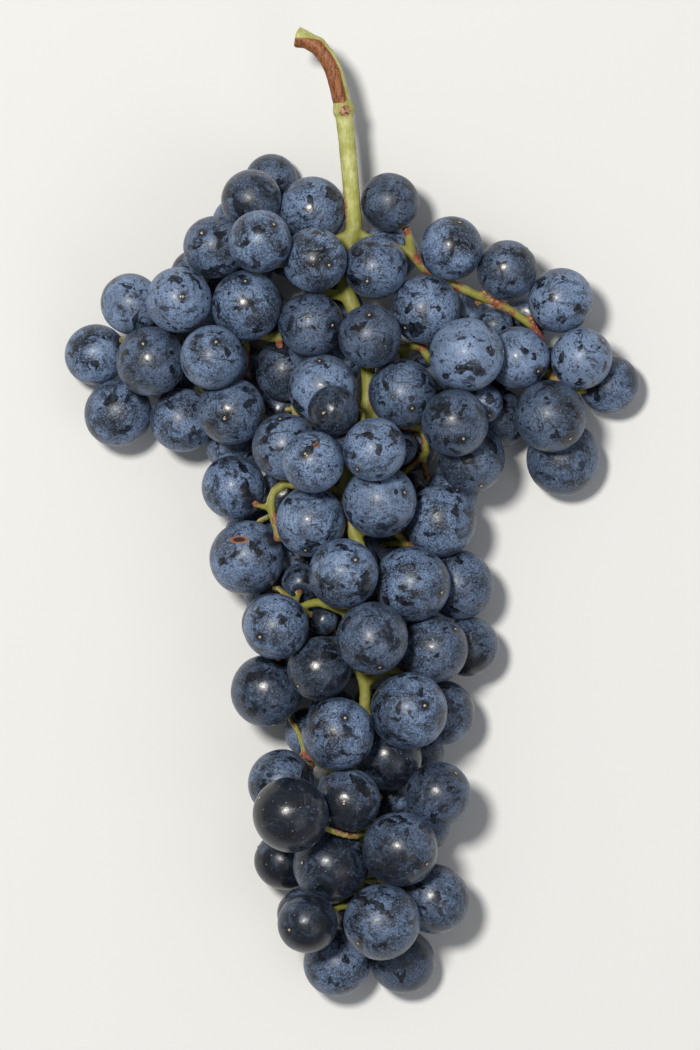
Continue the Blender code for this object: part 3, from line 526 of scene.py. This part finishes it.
@dataclass(frozen=True)
class StalkRind:
    """The green rind, red stalks and bark of a grape stem, with painted shade on the stem inside
    the bunch.

    A stalk is herbaceous: a thin green rind, ribbed along its length, that reddens in
    the sun and turns to brown bark where it meets the wood of the vine. The eye sees a
    matt, slightly waxy surface with fine streaks and corky warts at each berry.
    """

    green: str = "#A3A455"
    pale_green: str = "#C3C283"
    deep_green: str = "#7E842F"
    painted_shade_green: str = "#767425"        # painted shade: a darker green for the stem inside the bunch, where little light comes
    red: str = "#9A4C33"
    deep_red: str = "#6E3226"           # between the ribs
    bark: str = "#93582E"
    dark_bark: str = "#5E3520"
    cork: str = "#B98E6A"
    cut_wood: str = "#CDBB8C"           # the fresh cut, pale and fibrous

    streaks: Grain = Grain(0.5, 3.0, 0.6)       # along the stalk, half a millimetre apart
    blotches: Grain = Grain(5.0, 4.0, 0.6)      # patches of red and of paler green
    warts: Grain = Grain(0.55, 2.0, 0.5)        # cork warts on the berry's seat
    pale_patch: Step = Step(0.40, 0.62)
    dark_streak: Step = Step(0.56, 0.38, 0.0, 0.35)
    # How strongly the painted shade darkens the stem inside the bunch.
    painted_shade_share: float = 0.7
    blotch_share: float = 1.2
    red_streak: Step = Step(0.35, 0.65)
    sunned: Step = Step(0.92, 1.12)
    seat_wart: Step = Step(0.42, 0.60)
    seat_share: float = 0.8
    bark_streak: Step = Step(0.36, 0.60)
    bark_wart: Step = Step(0.60, 0.70, 0.0, 0.6)
    fray_share: float = 0.5                     # how far the streaks fray the bark's edge
    bark_edge: Step = Step(0.68, 0.84)
    scar_wart: Step = Step(0.4, 0.6)
    pith_wart: Step = Step(0.40, 0.62)
    gloss: Step = Step(0.3, 0.7, 0.62, 0.48)    # roughness, from rib to rib
    refraction: float = 1.42
    relief_strength: float = 0.6
    relief_height: float = 0.15                 # mm

    def make(self) -> bpy.types.Material:
        """Builds the material; the stem's points say where it is bark, red, seat or in painted
        shade.

        Returns:
            The material.
        """
        material = bpy.data.materials.new("grape_stalk_rind_and_bark")
        material.use_nodes = True
        tree = material.node_tree
        laid = held_by_points(tree, ("rind_place", "rind_run"), "Vector")
        held = held_by_points(tree, ("wood", "redness", "seat", "scar", "inner", "cut"))
        streaks = add_node(tree, *self.streaks.on(laid["rind_run"]))
        warts = add_node(tree, *self.warts.on(laid["rind_place"]))
        rind = self.rind(tree, laid["rind_place"], held, streaks, warts)
        height = add_node(tree, "Math", {0: warts, 1: held["seat"], 2: streaks}, ADD_SHARE)
        plug(tree, tree.nodes["Principled BSDF"], {
            "Base Color": self.bark_on(tree, rind, held, streaks, warts),
            "Roughness": add_node(tree, *self.gloss.on(streaks)),
            "IOR": self.refraction,
            "Normal": add_node(tree, "Bump", {"Strength": self.relief_strength, "Height": height,
                                              "Distance": self.relief_height * MM}),
        })
        return material

    def rind(self, tree: Tree, place: Socket, held: Points, streaks: Socket,
             warts: Socket) -> Socket:
        """Mixes the colour of the rind.

        Args:
            tree: The node tree.
            place: Where on the stem, in millimetres.
            held: The values that the stem's points hold.
            streaks: The pattern along the stalks.
            warts: The pattern of cork warts.

        Returns:
            Green rind, red where the sun or a berry's seat has made it so, and darker with painted
            shade inside the bunch.
        """
        blotches = add_node(tree, *self.blotches.on(place))
        # Painted shade: a darker green on the stem inside the bunch, where the crown shades it.
        inner = add_node(tree, "Math", {0: held["inner"], 1: self.painted_shade_share}, MULTIPLY)
        seated = add_node(tree, "Math", {0: held["seat"], 1: self.seat_share}, MULTIPLY)
        sun = add_node(tree, "Math", {0: blotches, 1: self.blotch_share, 2: held["redness"]},
                       ADD_SHARE)
        return painted(tree, self.green,
                       (blotches, self.pale_patch, self.pale_green),
                       (streaks, self.dark_streak, self.deep_green),
                       # the painted shade inside the bunch
                       (inner, None, self.painted_shade_green),
                       (sun, self.sunned,
                        painted(tree, self.deep_red, (streaks, self.red_streak, self.red))),
                       (seated, None,
                        painted(tree, self.deep_red, (warts, self.seat_wart, self.cork))))

    def bark_on(self, tree: Tree, rind: Socket, held: Points, streaks: Socket,
                warts: Socket) -> Socket:
        """Lays bark, the joint's scar and the cut over the rind.

        Args:
            tree: The node tree.
            rind: The colour of the rind.
            held: The values that the stem's points hold.
            streaks: The pattern along the stalks.
            warts: The pattern of cork warts.

        Returns:
            The whole stem's colour.
        """
        frayed = add_node(tree, "Math", {0: streaks, 1: self.fray_share, 2: held["wood"]},
                          ADD_SHARE)
        bark = painted(tree, self.dark_bark, (streaks, self.bark_streak, self.bark),
                       (warts, self.bark_wart, self.cork))
        scar = painted(tree, self.dark_bark, (warts, self.scar_wart, self.cork))
        pith = painted(tree, self.cut_wood, (warts, self.pith_wart, self.pale_green))
        return painted(tree, rind, (frayed, self.bark_edge, bark), (held["scar"], None, scar),
                       (held["cut"], None, pith))


@dataclass(frozen=True)
class PaperFloor:
    """Matt pale paper: an even ground without a shine."""

    paper: str = "#DFDFDD"
    roughness: float = 0.9

    def make(self) -> bpy.types.Material:
        """Builds the material.

        Returns:
            The material.
        """
        material = bpy.data.materials.new("matt_white_paper")
        material.use_nodes = True
        tree = material.node_tree
        plug(tree, tree.nodes["Principled BSDF"],
             {"Base Color": self.paper, "Roughness": self.roughness})
        return material


# ------------------------------------------------------------------ the berries
class Wear(Enum):
    """How much of its bloom a berry still has, from 0 to 1."""

    DUSTY = 1.0
    HANDLED = 0.72
    WORN = 0.45
    RUBBED = 0.12


class MarkKind(Enum):
    """What a healed wound looks like."""

    RING = "ring"
    STAR = "star"


@dataclass(frozen=True)
class Mark:
    """A healed wound on a berry, laid out in mm from the berry's middle."""

    kind: MarkKind
    across: float
    along: float
    wide: float                     # mm, half of its width
    high: float                     # mm, half of its height
    points: int = 5                 # of a star
    hub: float = 0.35               # a star's middle, as a share of its height

    def distance(self, x: np.ndarray, y: np.ndarray) -> np.ndarray:
        """How far places are from the mark's outline.

        Args:
            x: The places' distances across, in mm.
            y: Their distances along, in mm.

        Returns:
            The distances in mm, less than nothing inside the mark.
        """
        side, up = x - self.across, y - self.along
        if self.kind is MarkKind.RING:
            return (np.hypot(side / self.wide, up / self.high) - 1.0) * min(self.wide, self.high)
        arms = 0.5 + 0.5 * np.cos(self.points * np.arctan2(side, up))
        return np.hypot(side, up) - self.high * (self.hub + (1.0 - self.hub) * arms ** 2)


@dataclass
class Berry:
    """One berry: its skin, oval and pressed against its neighbours."""

    ball: Ball
    name: str
    outlet: np.ndarray              # towards its stalk
    seed: int
    bloom: float
    tone: float                     # from 0, dark, to 1, pale
    wear_side: np.ndarray           # towards its most rubbed side, as long as it is rubbed
    plump: float = 0.22             # mm, how far the skin stands out from the solid
    stretch: float = 0.018          # how much longer than wide the berry is
    lumps: float = 0.10             # mm, how uneven its shape is
    lump_spacing: float = 1.3       # how many lumps there are across it
    scar_depth: float = 0.16        # mm
    scar_width: float = 1.5         # mm
    nub_height: float = 0.30        # mm
    nub_width: float = 0.34         # mm
    socket_depth: float = 0.45      # mm
    socket_width: float = 2.2       # mm
    slices: int = 56
    turns: tuple = (0.8, 1.6, 2.6, 4.0, 6.0, 9.0, 13.0, 18.0)     # degrees from either end
    middle_turns: int = 25
    contact_air: float = 0.02       # mm between two berries that touch
    contact_reach: float = 0.88     # mm between two solids whose skins may touch
    kept_bloom: float = 0.25        # the most bloom that the other side is spared
    own_pattern: tuple = (37.1, 11.3, 5.7)      # mm, moves the patterns from berry to berry
    mark: Mark | None = None

    def rings(self) -> np.ndarray:
        """Spaces the skin's rings, closely at both ends.

        Returns:
            Their angles, from the scar of the flower to the socket.
        """
        ends = np.radians(self.turns)
        middle = np.linspace(ends[-1], math.pi - ends[-1], self.middle_turns)
        return np.concatenate([ends[:-1], middle, math.pi - ends[:-1][::-1]])

    def unit_skin(self, angles: np.ndarray) -> np.ndarray:
        """The skin's points on a ball of radius 1, with the flower's scar on top.

        Args:
            angles: The angles of its rings.

        Returns:
            The points.
        """
        spin = np.arange(self.slices) * math.tau / self.slices
        rows = [np.array([[0.0, 0.0, 1.0]])]
        rows += [np.stack([math.sin(a) * np.cos(spin), math.sin(a) * np.sin(spin),
                           np.full_like(spin, math.cos(a))], axis=1) for a in angles]
        return np.vstack(rows + [np.array([[0.0, 0.0, -1.0]])])

    def shape(self, neighbours: list[Ball]) -> bpy.types.Mesh:
        """Builds the skin.

        Args:
            neighbours: The berries that may press on this one.

        Returns:
            The mesh, in metres, in the frame's own place.
        """
        angles = self.rings()
        local = self.unit_skin(angles)
        radius = self.ball.radius / MM
        from_scar = np.arccos(np.clip(local[:, 2], -1.0, 1.0)) * radius
        from_socket = math.pi * radius - from_scar
        offset = self.seed * np.array(self.own_pattern)
        swell = np.array([noise.noise(Vector(p) * self.lump_spacing + Vector(offset))
                          for p in local])
        dents = (-self.scar_depth * np.exp(-(from_scar / self.scar_width) ** 2)
                 + self.nub_height * np.exp(-(from_scar / self.nub_width) ** 2)
                 - self.socket_depth * np.exp(-(from_socket / self.socket_width) ** 2))
        reach = radius + self.plump + self.lumps * swell + dents
        points = local * reach[:, None]
        points[:, 2] *= 1.0 + self.stretch
        points[:, :2] *= 1.0 - 0.5 * self.stretch
        down = Vector((0.0, 0.0, -1.0))
        turn = np.array(down.rotation_difference(Vector(self.outlet)).to_matrix())
        world = self.pressed(points @ turn.T * MM + self.ball.centre, neighbours)
        mesh = bpy.data.meshes.new(self.name)
        mesh.from_pydata(world.tolist(), [], self.faces(len(angles)))
        mesh.shade_smooth()
        facing = local @ turn.T
        rubbed = np.clip(facing @ self.wear_side, -self.kept_bloom, 1.0)
        give(mesh, "skin_place", local * radius + offset)
        give(mesh, "from_scar", from_scar)
        give(mesh, "from_socket", from_socket)
        give(mesh, "bloom", np.clip(self.bloom - rubbed, 0.0, 1.0))
        give(mesh, "tone", np.full(len(local), self.tone))
        give(mesh, "from_mark", self.from_mark(facing * radius))
        return mesh

    def faces(self, count: int) -> list[tuple[int, ...]]:
        """The skin's faces: a fan at each end and quads between.

        Args:
            count: How many rings there are.

        Returns:
            The corners of each face.
        """
        n = self.slices
        last = 1 + count * n
        faces = [(0, 1 + k, 1 + (k + 1) % n) for k in range(n)]
        for ring in range(count - 1):
            a, b = 1 + ring * n, 1 + (ring + 1) * n
            faces += [(a + k, b + k, b + (k + 1) % n, a + (k + 1) % n) for k in range(n)]
        start = 1 + (count - 1) * n
        faces += [(last, start + (k + 1) % n, start + k) for k in range(n)]
        return faces

    def pressed(self, points: np.ndarray, neighbours: list[Ball]) -> np.ndarray:
        """Flattens the skin where a neighbour or the floor presses on it.

        Args:
            points: The skin's points, in metres.
            neighbours: The berries that may press on this one.

        Returns:
            The points, none of them beyond the plane half-way to a neighbour.
        """
        own = self.ball
        for other in neighbours:
            apart = other.centre - own.centre
            far = float(np.linalg.norm(apart))
            if far >= own.radius + other.radius + self.contact_reach * MM:
                continue
            towards = apart / far
            share = 0.5 * (far + (own.radius ** 2 - other.radius ** 2) / far)
            limit = share - 0.5 * self.contact_air * MM
            over = (points - own.centre) @ towards - limit
            points = points - np.clip(over, 0.0, None)[:, None] * towards
        points[:, 2] = np.maximum(points[:, 2], 0.0)
        return points

    def from_mark(self, places: np.ndarray) -> np.ndarray:
        """How far each point is from the outline of the berry's mark, if it has one.

        Args:
            places: The points, in mm from the berry's middle.

        Returns:
            The distances, in mm.
        """
        if self.mark is None:
            return np.full(len(places), FAR_AWAY)
        far = self.mark.distance(places[:, 0], places[:, 1])
        return np.where(places[:, 2] > 0.0, far, FAR_AWAY)

    def build(self, neighbours: list[Ball], skin: bpy.types.Material) -> bpy.types.Object:
        """Makes the berry and hangs it on the frame.

        Args:
            neighbours: The berries that may press on this one.
            skin: The finish.

        Returns:
            The berry.
        """
        mesh = self.shape(neighbours)
        mesh.materials.append(skin)
        piece = bpy.data.objects.new(self.name, mesh)
        bpy.context.scene.collection.objects.link(piece)
        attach(piece, "root")
        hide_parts(self.ball.node)
        return piece


@dataclass
class BerryCrop:
    """All the berries of the bunch, each with the wear of its place."""

    stalk_points: np.ndarray
    tail_wear: float = 0.50         # how far the bloom has gone at the tail
    tail_share: float = 1.5         # the tail ends where the length over this is passed
    spread: float = 0.16            # how much it differs from berry to berry
    tail_tone: float = 0.35         # how pale the tail's palest berry is
    wear_from: tuple = (-0.3, -0.9, 0.5)    # the side from which most berries are rubbed
    wear_contrast: float = 0.34     # how much more that side is rubbed than the other
    wear_rise: float = 1.3          # where that contrast would end, as a share of the length
    named_contrast: float = 0.35    # share of it on berries with a wear of their own
    reach: float = 21.0             # mm, centres further apart than this never touch
    stalk_reach: float = 1.2        # mm, the stalk ends this close to its berry
    stalk_air: float = 0.1          # mm, keeps the nearest stalk's weight finite
    chance_seed: int = 17
    scars: tuple = ()               # where the flower's scar faces up, mm from the middle
    worn: tuple = ()                # berries with a wear of their own, mm from the middle
    marks: tuple = ()               # healed wounds: place of the berry, then the mark
    fine: dict = field(default_factory=lambda: {"slices": 168, "middle_turns": 76})
    balls: list[Ball] = field(default_factory=list)

    def read(self) -> None:
        """Finds every berry in the frame."""
        counts = frame["record"]["physics"]["collision_pieces"]
        finder = BallFinder()
        for node in sorted(name for name in counts if name != STEM_NODE):
            self.balls += finder.balls(node, counts[node])
        log.info("the frame holds %d berries in %d solids", len(self.balls), len(counts) - 1)

    def outlet(self, ball: Ball) -> np.ndarray:
        """Finds the direction in which a berry's stalk leaves it.

        Args:
            ball: The berry.

        Returns:
            The direction, of length 1.
        """
        apart = self.stalk_points - ball.centre
        far = np.linalg.norm(apart, axis=1)
        close = far < ball.radius + self.stalk_reach * MM
        picked = apart[close] if close.any() else apart[[far.argmin()]]
        room = self.stalk_air * MM + np.linalg.norm(picked, axis=1) - ball.radius
        best = picked[(1.0 / room ** 2).argmax()]
        return best / np.linalg.norm(best)

    def upper_ball(self, place: tuple[float, float]) -> Ball | None:
        """Finds the berry that is on top at a place.

        Args:
            place: The place, in mm from the middle of the bunch.

        Returns:
            The berry, or nothing where there is none.
        """
        under = [b for b in self.balls
                 if math.hypot(b.centre[0] - place[0] * MM,
                               b.centre[1] - place[1] * MM) < b.radius]
        return max(under, key=lambda b: b.centre[2] + 0.5 * b.radius, default=None)

    def outlets(self) -> dict[int, np.ndarray]:
        """Finds where every berry's stalk leaves it.

        Returns:
            The directions by berry. Where the flower's scar is known to face up, the
            stalk is opposite it.
        """
        outlets = {id(ball): self.outlet(ball) for ball in self.balls}
        for place in self.scars:
            ball = self.upper_ball(place)
            if ball is not None:
                flat = np.array([place[0] * MM - ball.centre[0], place[1] * MM - ball.centre[1]])
                lift = math.sqrt(max(ball.radius ** 2 - float(flat @ flat), 0.0))
                outlets[id(ball)] = -np.array([*flat, lift]) / ball.radius
        return outlets

    def build(self, skin: bpy.types.Material) -> list[bpy.types.Object]:
        """Makes every berry.

        Args:
            skin: The finish.

        Returns:
            The berries.
        """
        outlets = self.outlets()
        wear = {id(self.upper_ball(place)): state.value for place, state in self.worn}
        marks = {id(self.upper_ball(place)): mark for place, mark in self.marks}
        low, high = (corner[1] for corner in CAD_BOX)
        chance = np.random.default_rng(self.chance_seed)
        made = []
        for number, ball in enumerate(self.balls):
            height = (ball.centre[1] - low) / (high - low)
            past_tail = min(1.0, self.tail_share * height)
            bloom = 1.0 - self.tail_wear * (1.0 - past_tail)
            bloom += self.spread * float(chance.uniform(-1.0, 1.0))
            bloom = min(1.0, max(0.0, wear.get(id(ball), bloom)))
            tone = float(chance.uniform(0.0, 1.0))
            tone *= self.tail_tone + (1.0 - self.tail_tone) * past_tail
            side = chance.normal(size=3) + np.array(self.wear_from)
            side *= self.wear_contrast * (self.wear_rise - height) / np.linalg.norm(side)
            if id(ball) in wear:
                side *= self.named_contrast
            near = [other for other in self.balls if other is not ball
                    and np.linalg.norm(other.centre - ball.centre) < self.reach * MM]
            region = ball.node.replace("_berries", "").replace("_berry", "")
            mark = marks.get(id(ball))
            berry = Berry(ball, f"grape_{region}_{LETTERS[ball.number]}", outlets[id(ball)],
                          number + 1, bloom, tone, side, mark=mark, **(self.fine if mark else {}))
            made.append(berry.build(near, skin))
            log.info("made %s", berry.name)
        log.info("made %d berries", len(made))
        return made


# --------------------------------------------------------------------- the stem
@dataclass
class Stem:
    """The stalk, its branches and every berry's own stalk, as one grown skin."""

    voxel: float = 0.42             # mm, fineness of the skin
    weld: float = 0.001             # mm, corners closer than this are one
    decimals: int = 7               # of a metre, by which two corners are the same
    relax_turns: int = 12
    relax_steps: tuple = (0.55, -0.57)      # in and out again, so that nothing gets thinner
    swell: float = 0.12             # mm, how far the rind stands out from the solid
    bumps: float = 0.10             # mm, how uneven it is
    bump_spacing: float = 0.9       # how many bumps there are to a millimetre or so

    seat_reach: float = 1.6         # mm from a berry, the warty seat's length
    seat_fade: float = 0.7
    red_reach: float = 4.5          # mm from a berry, where the stalks are red
    red_fade: float = 3.0
    least_red: float = 0.06
    most_red: float = 0.42          # added to it on the stalks
    core_width: float = 9.0         # mm, half of the bunch's core, where it is shaded
    core_green: float = 0.5         # share of the red that the shade keeps away
    red_to: float = 78.0            # mm along the bunch, none beyond
    painted_shade_to: float = 76.0          # mm along the bunch, where the crown covers the stem and the painted shade ends
    painted_shade_fade: float = 8.0

    wood_from: float = 101.6        # mm along the bunch, where the rind turns to bark
    wood_to: float = 119.5
    wood_fade: float = 1.5
    wood_turn: tuple = (0.80, 0.50, -0.25)  # towards the outside of the arc, which stays green
    wood_middle: float = 0.85
    wood_contrast: float = 0.9
    knuckle: tuple = (-1.9, 100.5)  # mm, place of the joint in the free stalk
    knuckle_scar: float = 1.7       # mm, radius of its scar
    knuckle_fade: float = 0.5
    knuckle_facing: tuple = (0.3, 0.5)      # upward share at which it starts, and its rise
    cut_facing: tuple = (-0.96, 0.28, 0.0)
    cut_sharpness: tuple = (0.72, 0.15)     # share that faces that way, and its rise
    cut_from: float = -12.2         # mm across the bunch
    cut_fade: float = 0.5
    streak_run: tuple = (1.0, 0.12, 1.0)    # draws the streaks out along the bunch

    def points(self) -> np.ndarray:
        """The corners of the stem's solid, in metres."""
        corners = np.array([v.co[:] for v in frame["nodes"][STEM_NODE].data.vertices])
        return np.unique(np.round(corners, self.decimals), axis=0)

    def skin(self) -> bpy.types.Mesh:
        """Grows an even, fine skin over the stem's solid.

        Returns:
            The mesh, in metres.
        """
        rough = bpy.data.objects.new("stem_rough", frame["nodes"][STEM_NODE].data.copy())
        bpy.context.scene.collection.objects.link(rough)
        weld = rough.modifiers.new("weld", "WELD")
        weld.merge_threshold = self.weld * MM
        remesh = rough.modifiers.new("skin", "REMESH")
        remesh.mode = "VOXEL"
        remesh.voxel_size = self.voxel * MM
        graph = bpy.context.evaluated_depsgraph_get()
        mesh = bpy.data.meshes.new_from_object(rough.evaluated_get(graph))
        bpy.data.objects.remove(rough)
        mesh.name = "grape_stem"
        return mesh

    def relaxed(self, mesh: bpy.types.Mesh) -> np.ndarray:
        """Smooths the skin without thinning it.

        Args:
            mesh: The skin.

        Returns:
            Its points, in metres.
        """
        points = np.array([v.co[:] for v in mesh.vertices])
        edges = np.array([e.vertices[:] for e in mesh.edges])
        count = np.bincount(edges.ravel(), minlength=len(points))[:, None]
        for _ in range(self.relax_turns):
            for step in self.relax_steps:
                total = np.zeros_like(points)
                np.add.at(total, edges[:, 0], points[edges[:, 1]])
                np.add.at(total, edges[:, 1], points[edges[:, 0]])
                points = points + step * (total / count - points)
        return points

    def build(self, balls: list[Ball], rind: bpy.types.Material) -> bpy.types.Object:
        """Makes the stem and hangs it on the frame.

        Args:
            balls: The berries.
            rind: The finish.

        Returns:
            The stem.
        """
        mesh = self.skin()
        points = self.relaxed(mesh)
        mesh.vertices.foreach_set("co", points.ravel())
        mesh.update()
        normals = np.array([v.normal[:] for v in mesh.vertices])
        places = points / MM
        close = np.full(len(points), FAR_AWAY)
        for ball in balls:
            far = (np.linalg.norm(points - ball.centre, axis=1) - ball.radius) / MM
            close = np.minimum(close, far)
        uneven = np.array([noise.noise(Vector(p) * self.bump_spacing) for p in places])
        points = points + normals * ((self.swell + self.bumps * uneven) * MM)[:, None]
        mesh.vertices.foreach_set("co", points.ravel())
        mesh.shade_smooth()
        self.mark(mesh, places, normals, close)
        mesh.materials.clear()
        mesh.materials.append(rind)
        piece = bpy.data.objects.new("grape_stem", mesh)
        bpy.context.scene.collection.objects.link(piece)
        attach(piece, "root")
        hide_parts(STEM_NODE)
        log.info("made the stem, %d faces", len(mesh.polygons))
        return piece

    def mark(self, mesh: bpy.types.Mesh, places: np.ndarray, normals: np.ndarray,
             close: np.ndarray) -> None:
        """Says where the stem is bark, red, a berry's seat or in painted shade.

        Args:
            mesh: The stem's mesh.
            places: Its points, in mm.
            normals: Their directions.
            close: How far each point is from the nearest berry, in mm.
        """
        x, y = places[:, 0], places[:, 1]
        give(mesh, "cut", self.cut(x, normals))
        # Painted shade on the stem inside the bunch, fading out where the crown ends.
        give(mesh, "inner", ramp(y, self.painted_shade_to, -self.painted_shade_fade))
        give(mesh, "wood", self.wood(y, normals))
        give(mesh, "redness", self.redness(x, y, close))
        give(mesh, "seat", ramp(close, self.seat_reach, -self.seat_fade))
        give(mesh, "scar", self.scar(x, y, normals))
        give(mesh, "rind_place", places)
        give(mesh, "rind_run", places * np.array(self.streak_run))

    def cut(self, x: np.ndarray, normals: np.ndarray) -> np.ndarray:
        """Finds the face where the stalk was cut.

        Args:
            x: The points' places across the bunch, in mm.
            normals: Their directions.

        Returns:
            1 on the cut.
        """
        facing = normals @ np.array(self.cut_facing)
        return ramp(facing, *self.cut_sharpness) * ramp(x, self.cut_from, -self.cut_fade)

    def wood(self, y: np.ndarray, normals: np.ndarray) -> np.ndarray:
        """Finds the bark, on the inside of the stalk's arc.

        Args:
            y: The points' places along the bunch, in mm.
            normals: Their directions.

        Returns:
            1 on the bark.
        """
        outer = normals @ np.array(self.wood_turn)
        inside = np.clip(self.wood_middle - self.wood_contrast * outer, 0.0, 1.0)
        along = ramp(y, self.wood_from, self.wood_fade) * ramp(y, self.wood_to, -self.wood_fade)
        return along * inside

    def redness(self, x: np.ndarray, y: np.ndarray, close: np.ndarray) -> np.ndarray:
        """Finds where the sun and the berries have reddened the stalks.

        Args:
            x: The points' places across the bunch, in mm.
            y: Their places along it, in mm.
            close: How far each is from the nearest berry, in mm.

        Returns:
            How red each is.
        """
        core = np.exp(-(x / self.core_width) ** 2)
        thin = ramp(close, self.red_reach, -self.red_fade)
        redness = self.least_red + self.most_red * thin * (1.0 - self.core_green * core)
        redness[y > self.red_to] = 0.0
        return redness

    def scar(self, x: np.ndarray, y: np.ndarray, normals: np.ndarray) -> np.ndarray:
        """Finds the scar on the joint of the free stalk.

        Args:
            x: The points' places across the bunch, in mm.
            y: Their places along it, in mm.
            normals: Their directions.

        Returns:
            1 on the scar.
        """
        far = np.hypot(x - self.knuckle[0], y - self.knuckle[1])
        return (ramp(far, self.knuckle_scar, -self.knuckle_fade)
                * ramp(normals[:, 2], *self.knuckle_facing))


# -------------------------------------------------------------------- the stage
@dataclass(frozen=True)
class Lamp:
    """A soft, round light that faces the bunch."""

    name: str
    place: tuple                    # m
    size: float                     # m, its width
    power: float                    # W
    colour: str

    def hang(self) -> None:
        """Hangs the light."""
        data = bpy.data.lights.new(self.name, "AREA")
        data.shape = "DISK"
        data.size = self.size
        data.energy = self.power
        data.color = linear(self.colour)[:3]
        light = bpy.data.objects.new(self.name, data)
        light.location = self.place
        light.rotation_mode = "QUATERNION"
        light.rotation_quaternion = (-Vector(self.place)).to_track_quat("-Z", "Y")
        bpy.context.scene.collection.objects.link(light)


@dataclass
class Studio:
    """The floor, the lights and the camera."""

    middle: tuple = (-0.55, -3.33)  # mm, what the camera looks at, from the bunch's middle
    view: tuple = (175.0, 262.5)    # mm, what it sees at the height that it looks at
    level: float = 28.0             # mm over the floor
    distance: float = 2000.0        # mm
    sensor: float = 36.0            # mm, the long side of the picture
    near: float = 0.1               # m, where the camera starts to see
    far: float = 20.0               # m, and where it ends
    floor_size: float = 6000.0      # mm
    floor_level: float = -0.05      # mm
    walls: str = "#F6F8FC"
    walls_strength: float = 0.28
    lamps: tuple = (
        Lamp("key_light", (-0.40, 0.36, 1.9), 0.28, 35.0, "#FFFCF6"),
        Lamp("fill_light", (0.9, -0.7, 1.5), 1.2, 3.5, "#F4F7FF"),
    )

    def lay_floor(self) -> None:
        """Lays the floor and marks it as the stage."""
        mesh = bpy.data.meshes.new("floor")
        half = 0.5 * self.floor_size * MM
        mesh.from_pydata([(-half, -half, 0.0), (half, -half, 0.0), (half, half, 0.0),
                          (-half, half, 0.0)], [], [(0, 1, 2, 3)])
        mesh.materials.append(PaperFloor().make())
        floor = bpy.data.objects.new("floor", mesh)
        floor.location.z = self.floor_level * MM
        bpy.context.scene.collection.objects.link(floor)
        log.info("laid the floor")

    def light(self) -> None:
        """Hangs the lights, a sharp key beside the camera and a soft fill, in pale walls."""
        for lamp in self.lamps:
            lamp.hang()
            log.info("hung the %s", lamp.name)
        world = bpy.data.worlds.new("studio_walls")
        world.use_nodes = True
        plug(world.node_tree, world.node_tree.nodes["Background"],
             {"Color": self.walls, "Strength": self.walls_strength})
        bpy.context.scene.world = world
        bpy.context.scene.view_settings.view_transform = "Standard"

    def place_camera(self) -> None:
        """Puts the camera straight over the bunch, with a long lens."""
        data = bpy.data.cameras.new("camera")
        data.sensor_width = self.sensor
        data.lens = self.sensor * self.distance / self.view[1]
        data.clip_start = self.near
        data.clip_end = self.far
        camera = bpy.data.objects.new("camera", data)
        camera.location = (self.middle[0] * MM, self.middle[1] * MM,
                           (self.level + self.distance) * MM)
        bpy.context.scene.collection.objects.link(camera)
        bpy.context.scene.camera = camera
        log.info("placed the camera")


# Where the dry scar of the flower shows, in mm across and along from the bunch's middle.
SCARS_UP = (
    (46.3, 35.2), (37.2, 39.8), (14.9, 25.8), (27.5, 18.2), (54.3, 18.4), (16.8, 14.8),
    (1.4, 10.6), (22.0, -20.1), (6.8, -38.4), (17.9, -48.2), (-1.8, -51.3), (18.3, -87.6),
    (0.7, -12.1), (1.7, -107.3),
)
# Berries that have lost more of their bloom, or kept more, than their neighbours.
OWN_WEAR = (
    ((-23.8, 77.3), Wear.WORN), ((-5.8, 29.9), Wear.WORN), ((-13.3, -74.9), Wear.RUBBED),
    ((-5.3, -89.1), Wear.WORN), ((20.0, -96.8), Wear.WORN), ((10.9, -61.9), Wear.WORN),
    ((-2.9, -113.5), Wear.HANDLED), ((13.7, -113.5), Wear.HANDLED),
    ((-9.9, -101.7), Wear.WORN), ((8.6, -100.7), Wear.HANDLED),
)
HEALED_WOUNDS = (
    ((-27.3, -5.7), Mark(MarkKind.RING, -1.9, 4.4, 2.0, 0.75)),
    ((-6.9, 16.8), Mark(MarkKind.STAR, 0.9, 3.9, 0.8, 0.8)),
)


def main() -> None:
    """Builds the bunch, its finishes and the stage round it."""
    logging.basicConfig(level=logging.INFO, format="%(message)s")
    studio = Studio()
    studio.place_camera()
    studio.lay_floor()
    studio.light()
    stem = Stem()
    crop = BerryCrop(stem.points(), scars=SCARS_UP, worn=OWN_WEAR, marks=HEALED_WOUNDS)
    crop.read()
    crop.build(BerrySkin().make())
    stem.build(crop.balls, StalkRind().make())


if __name__ == "__main__":
    main()
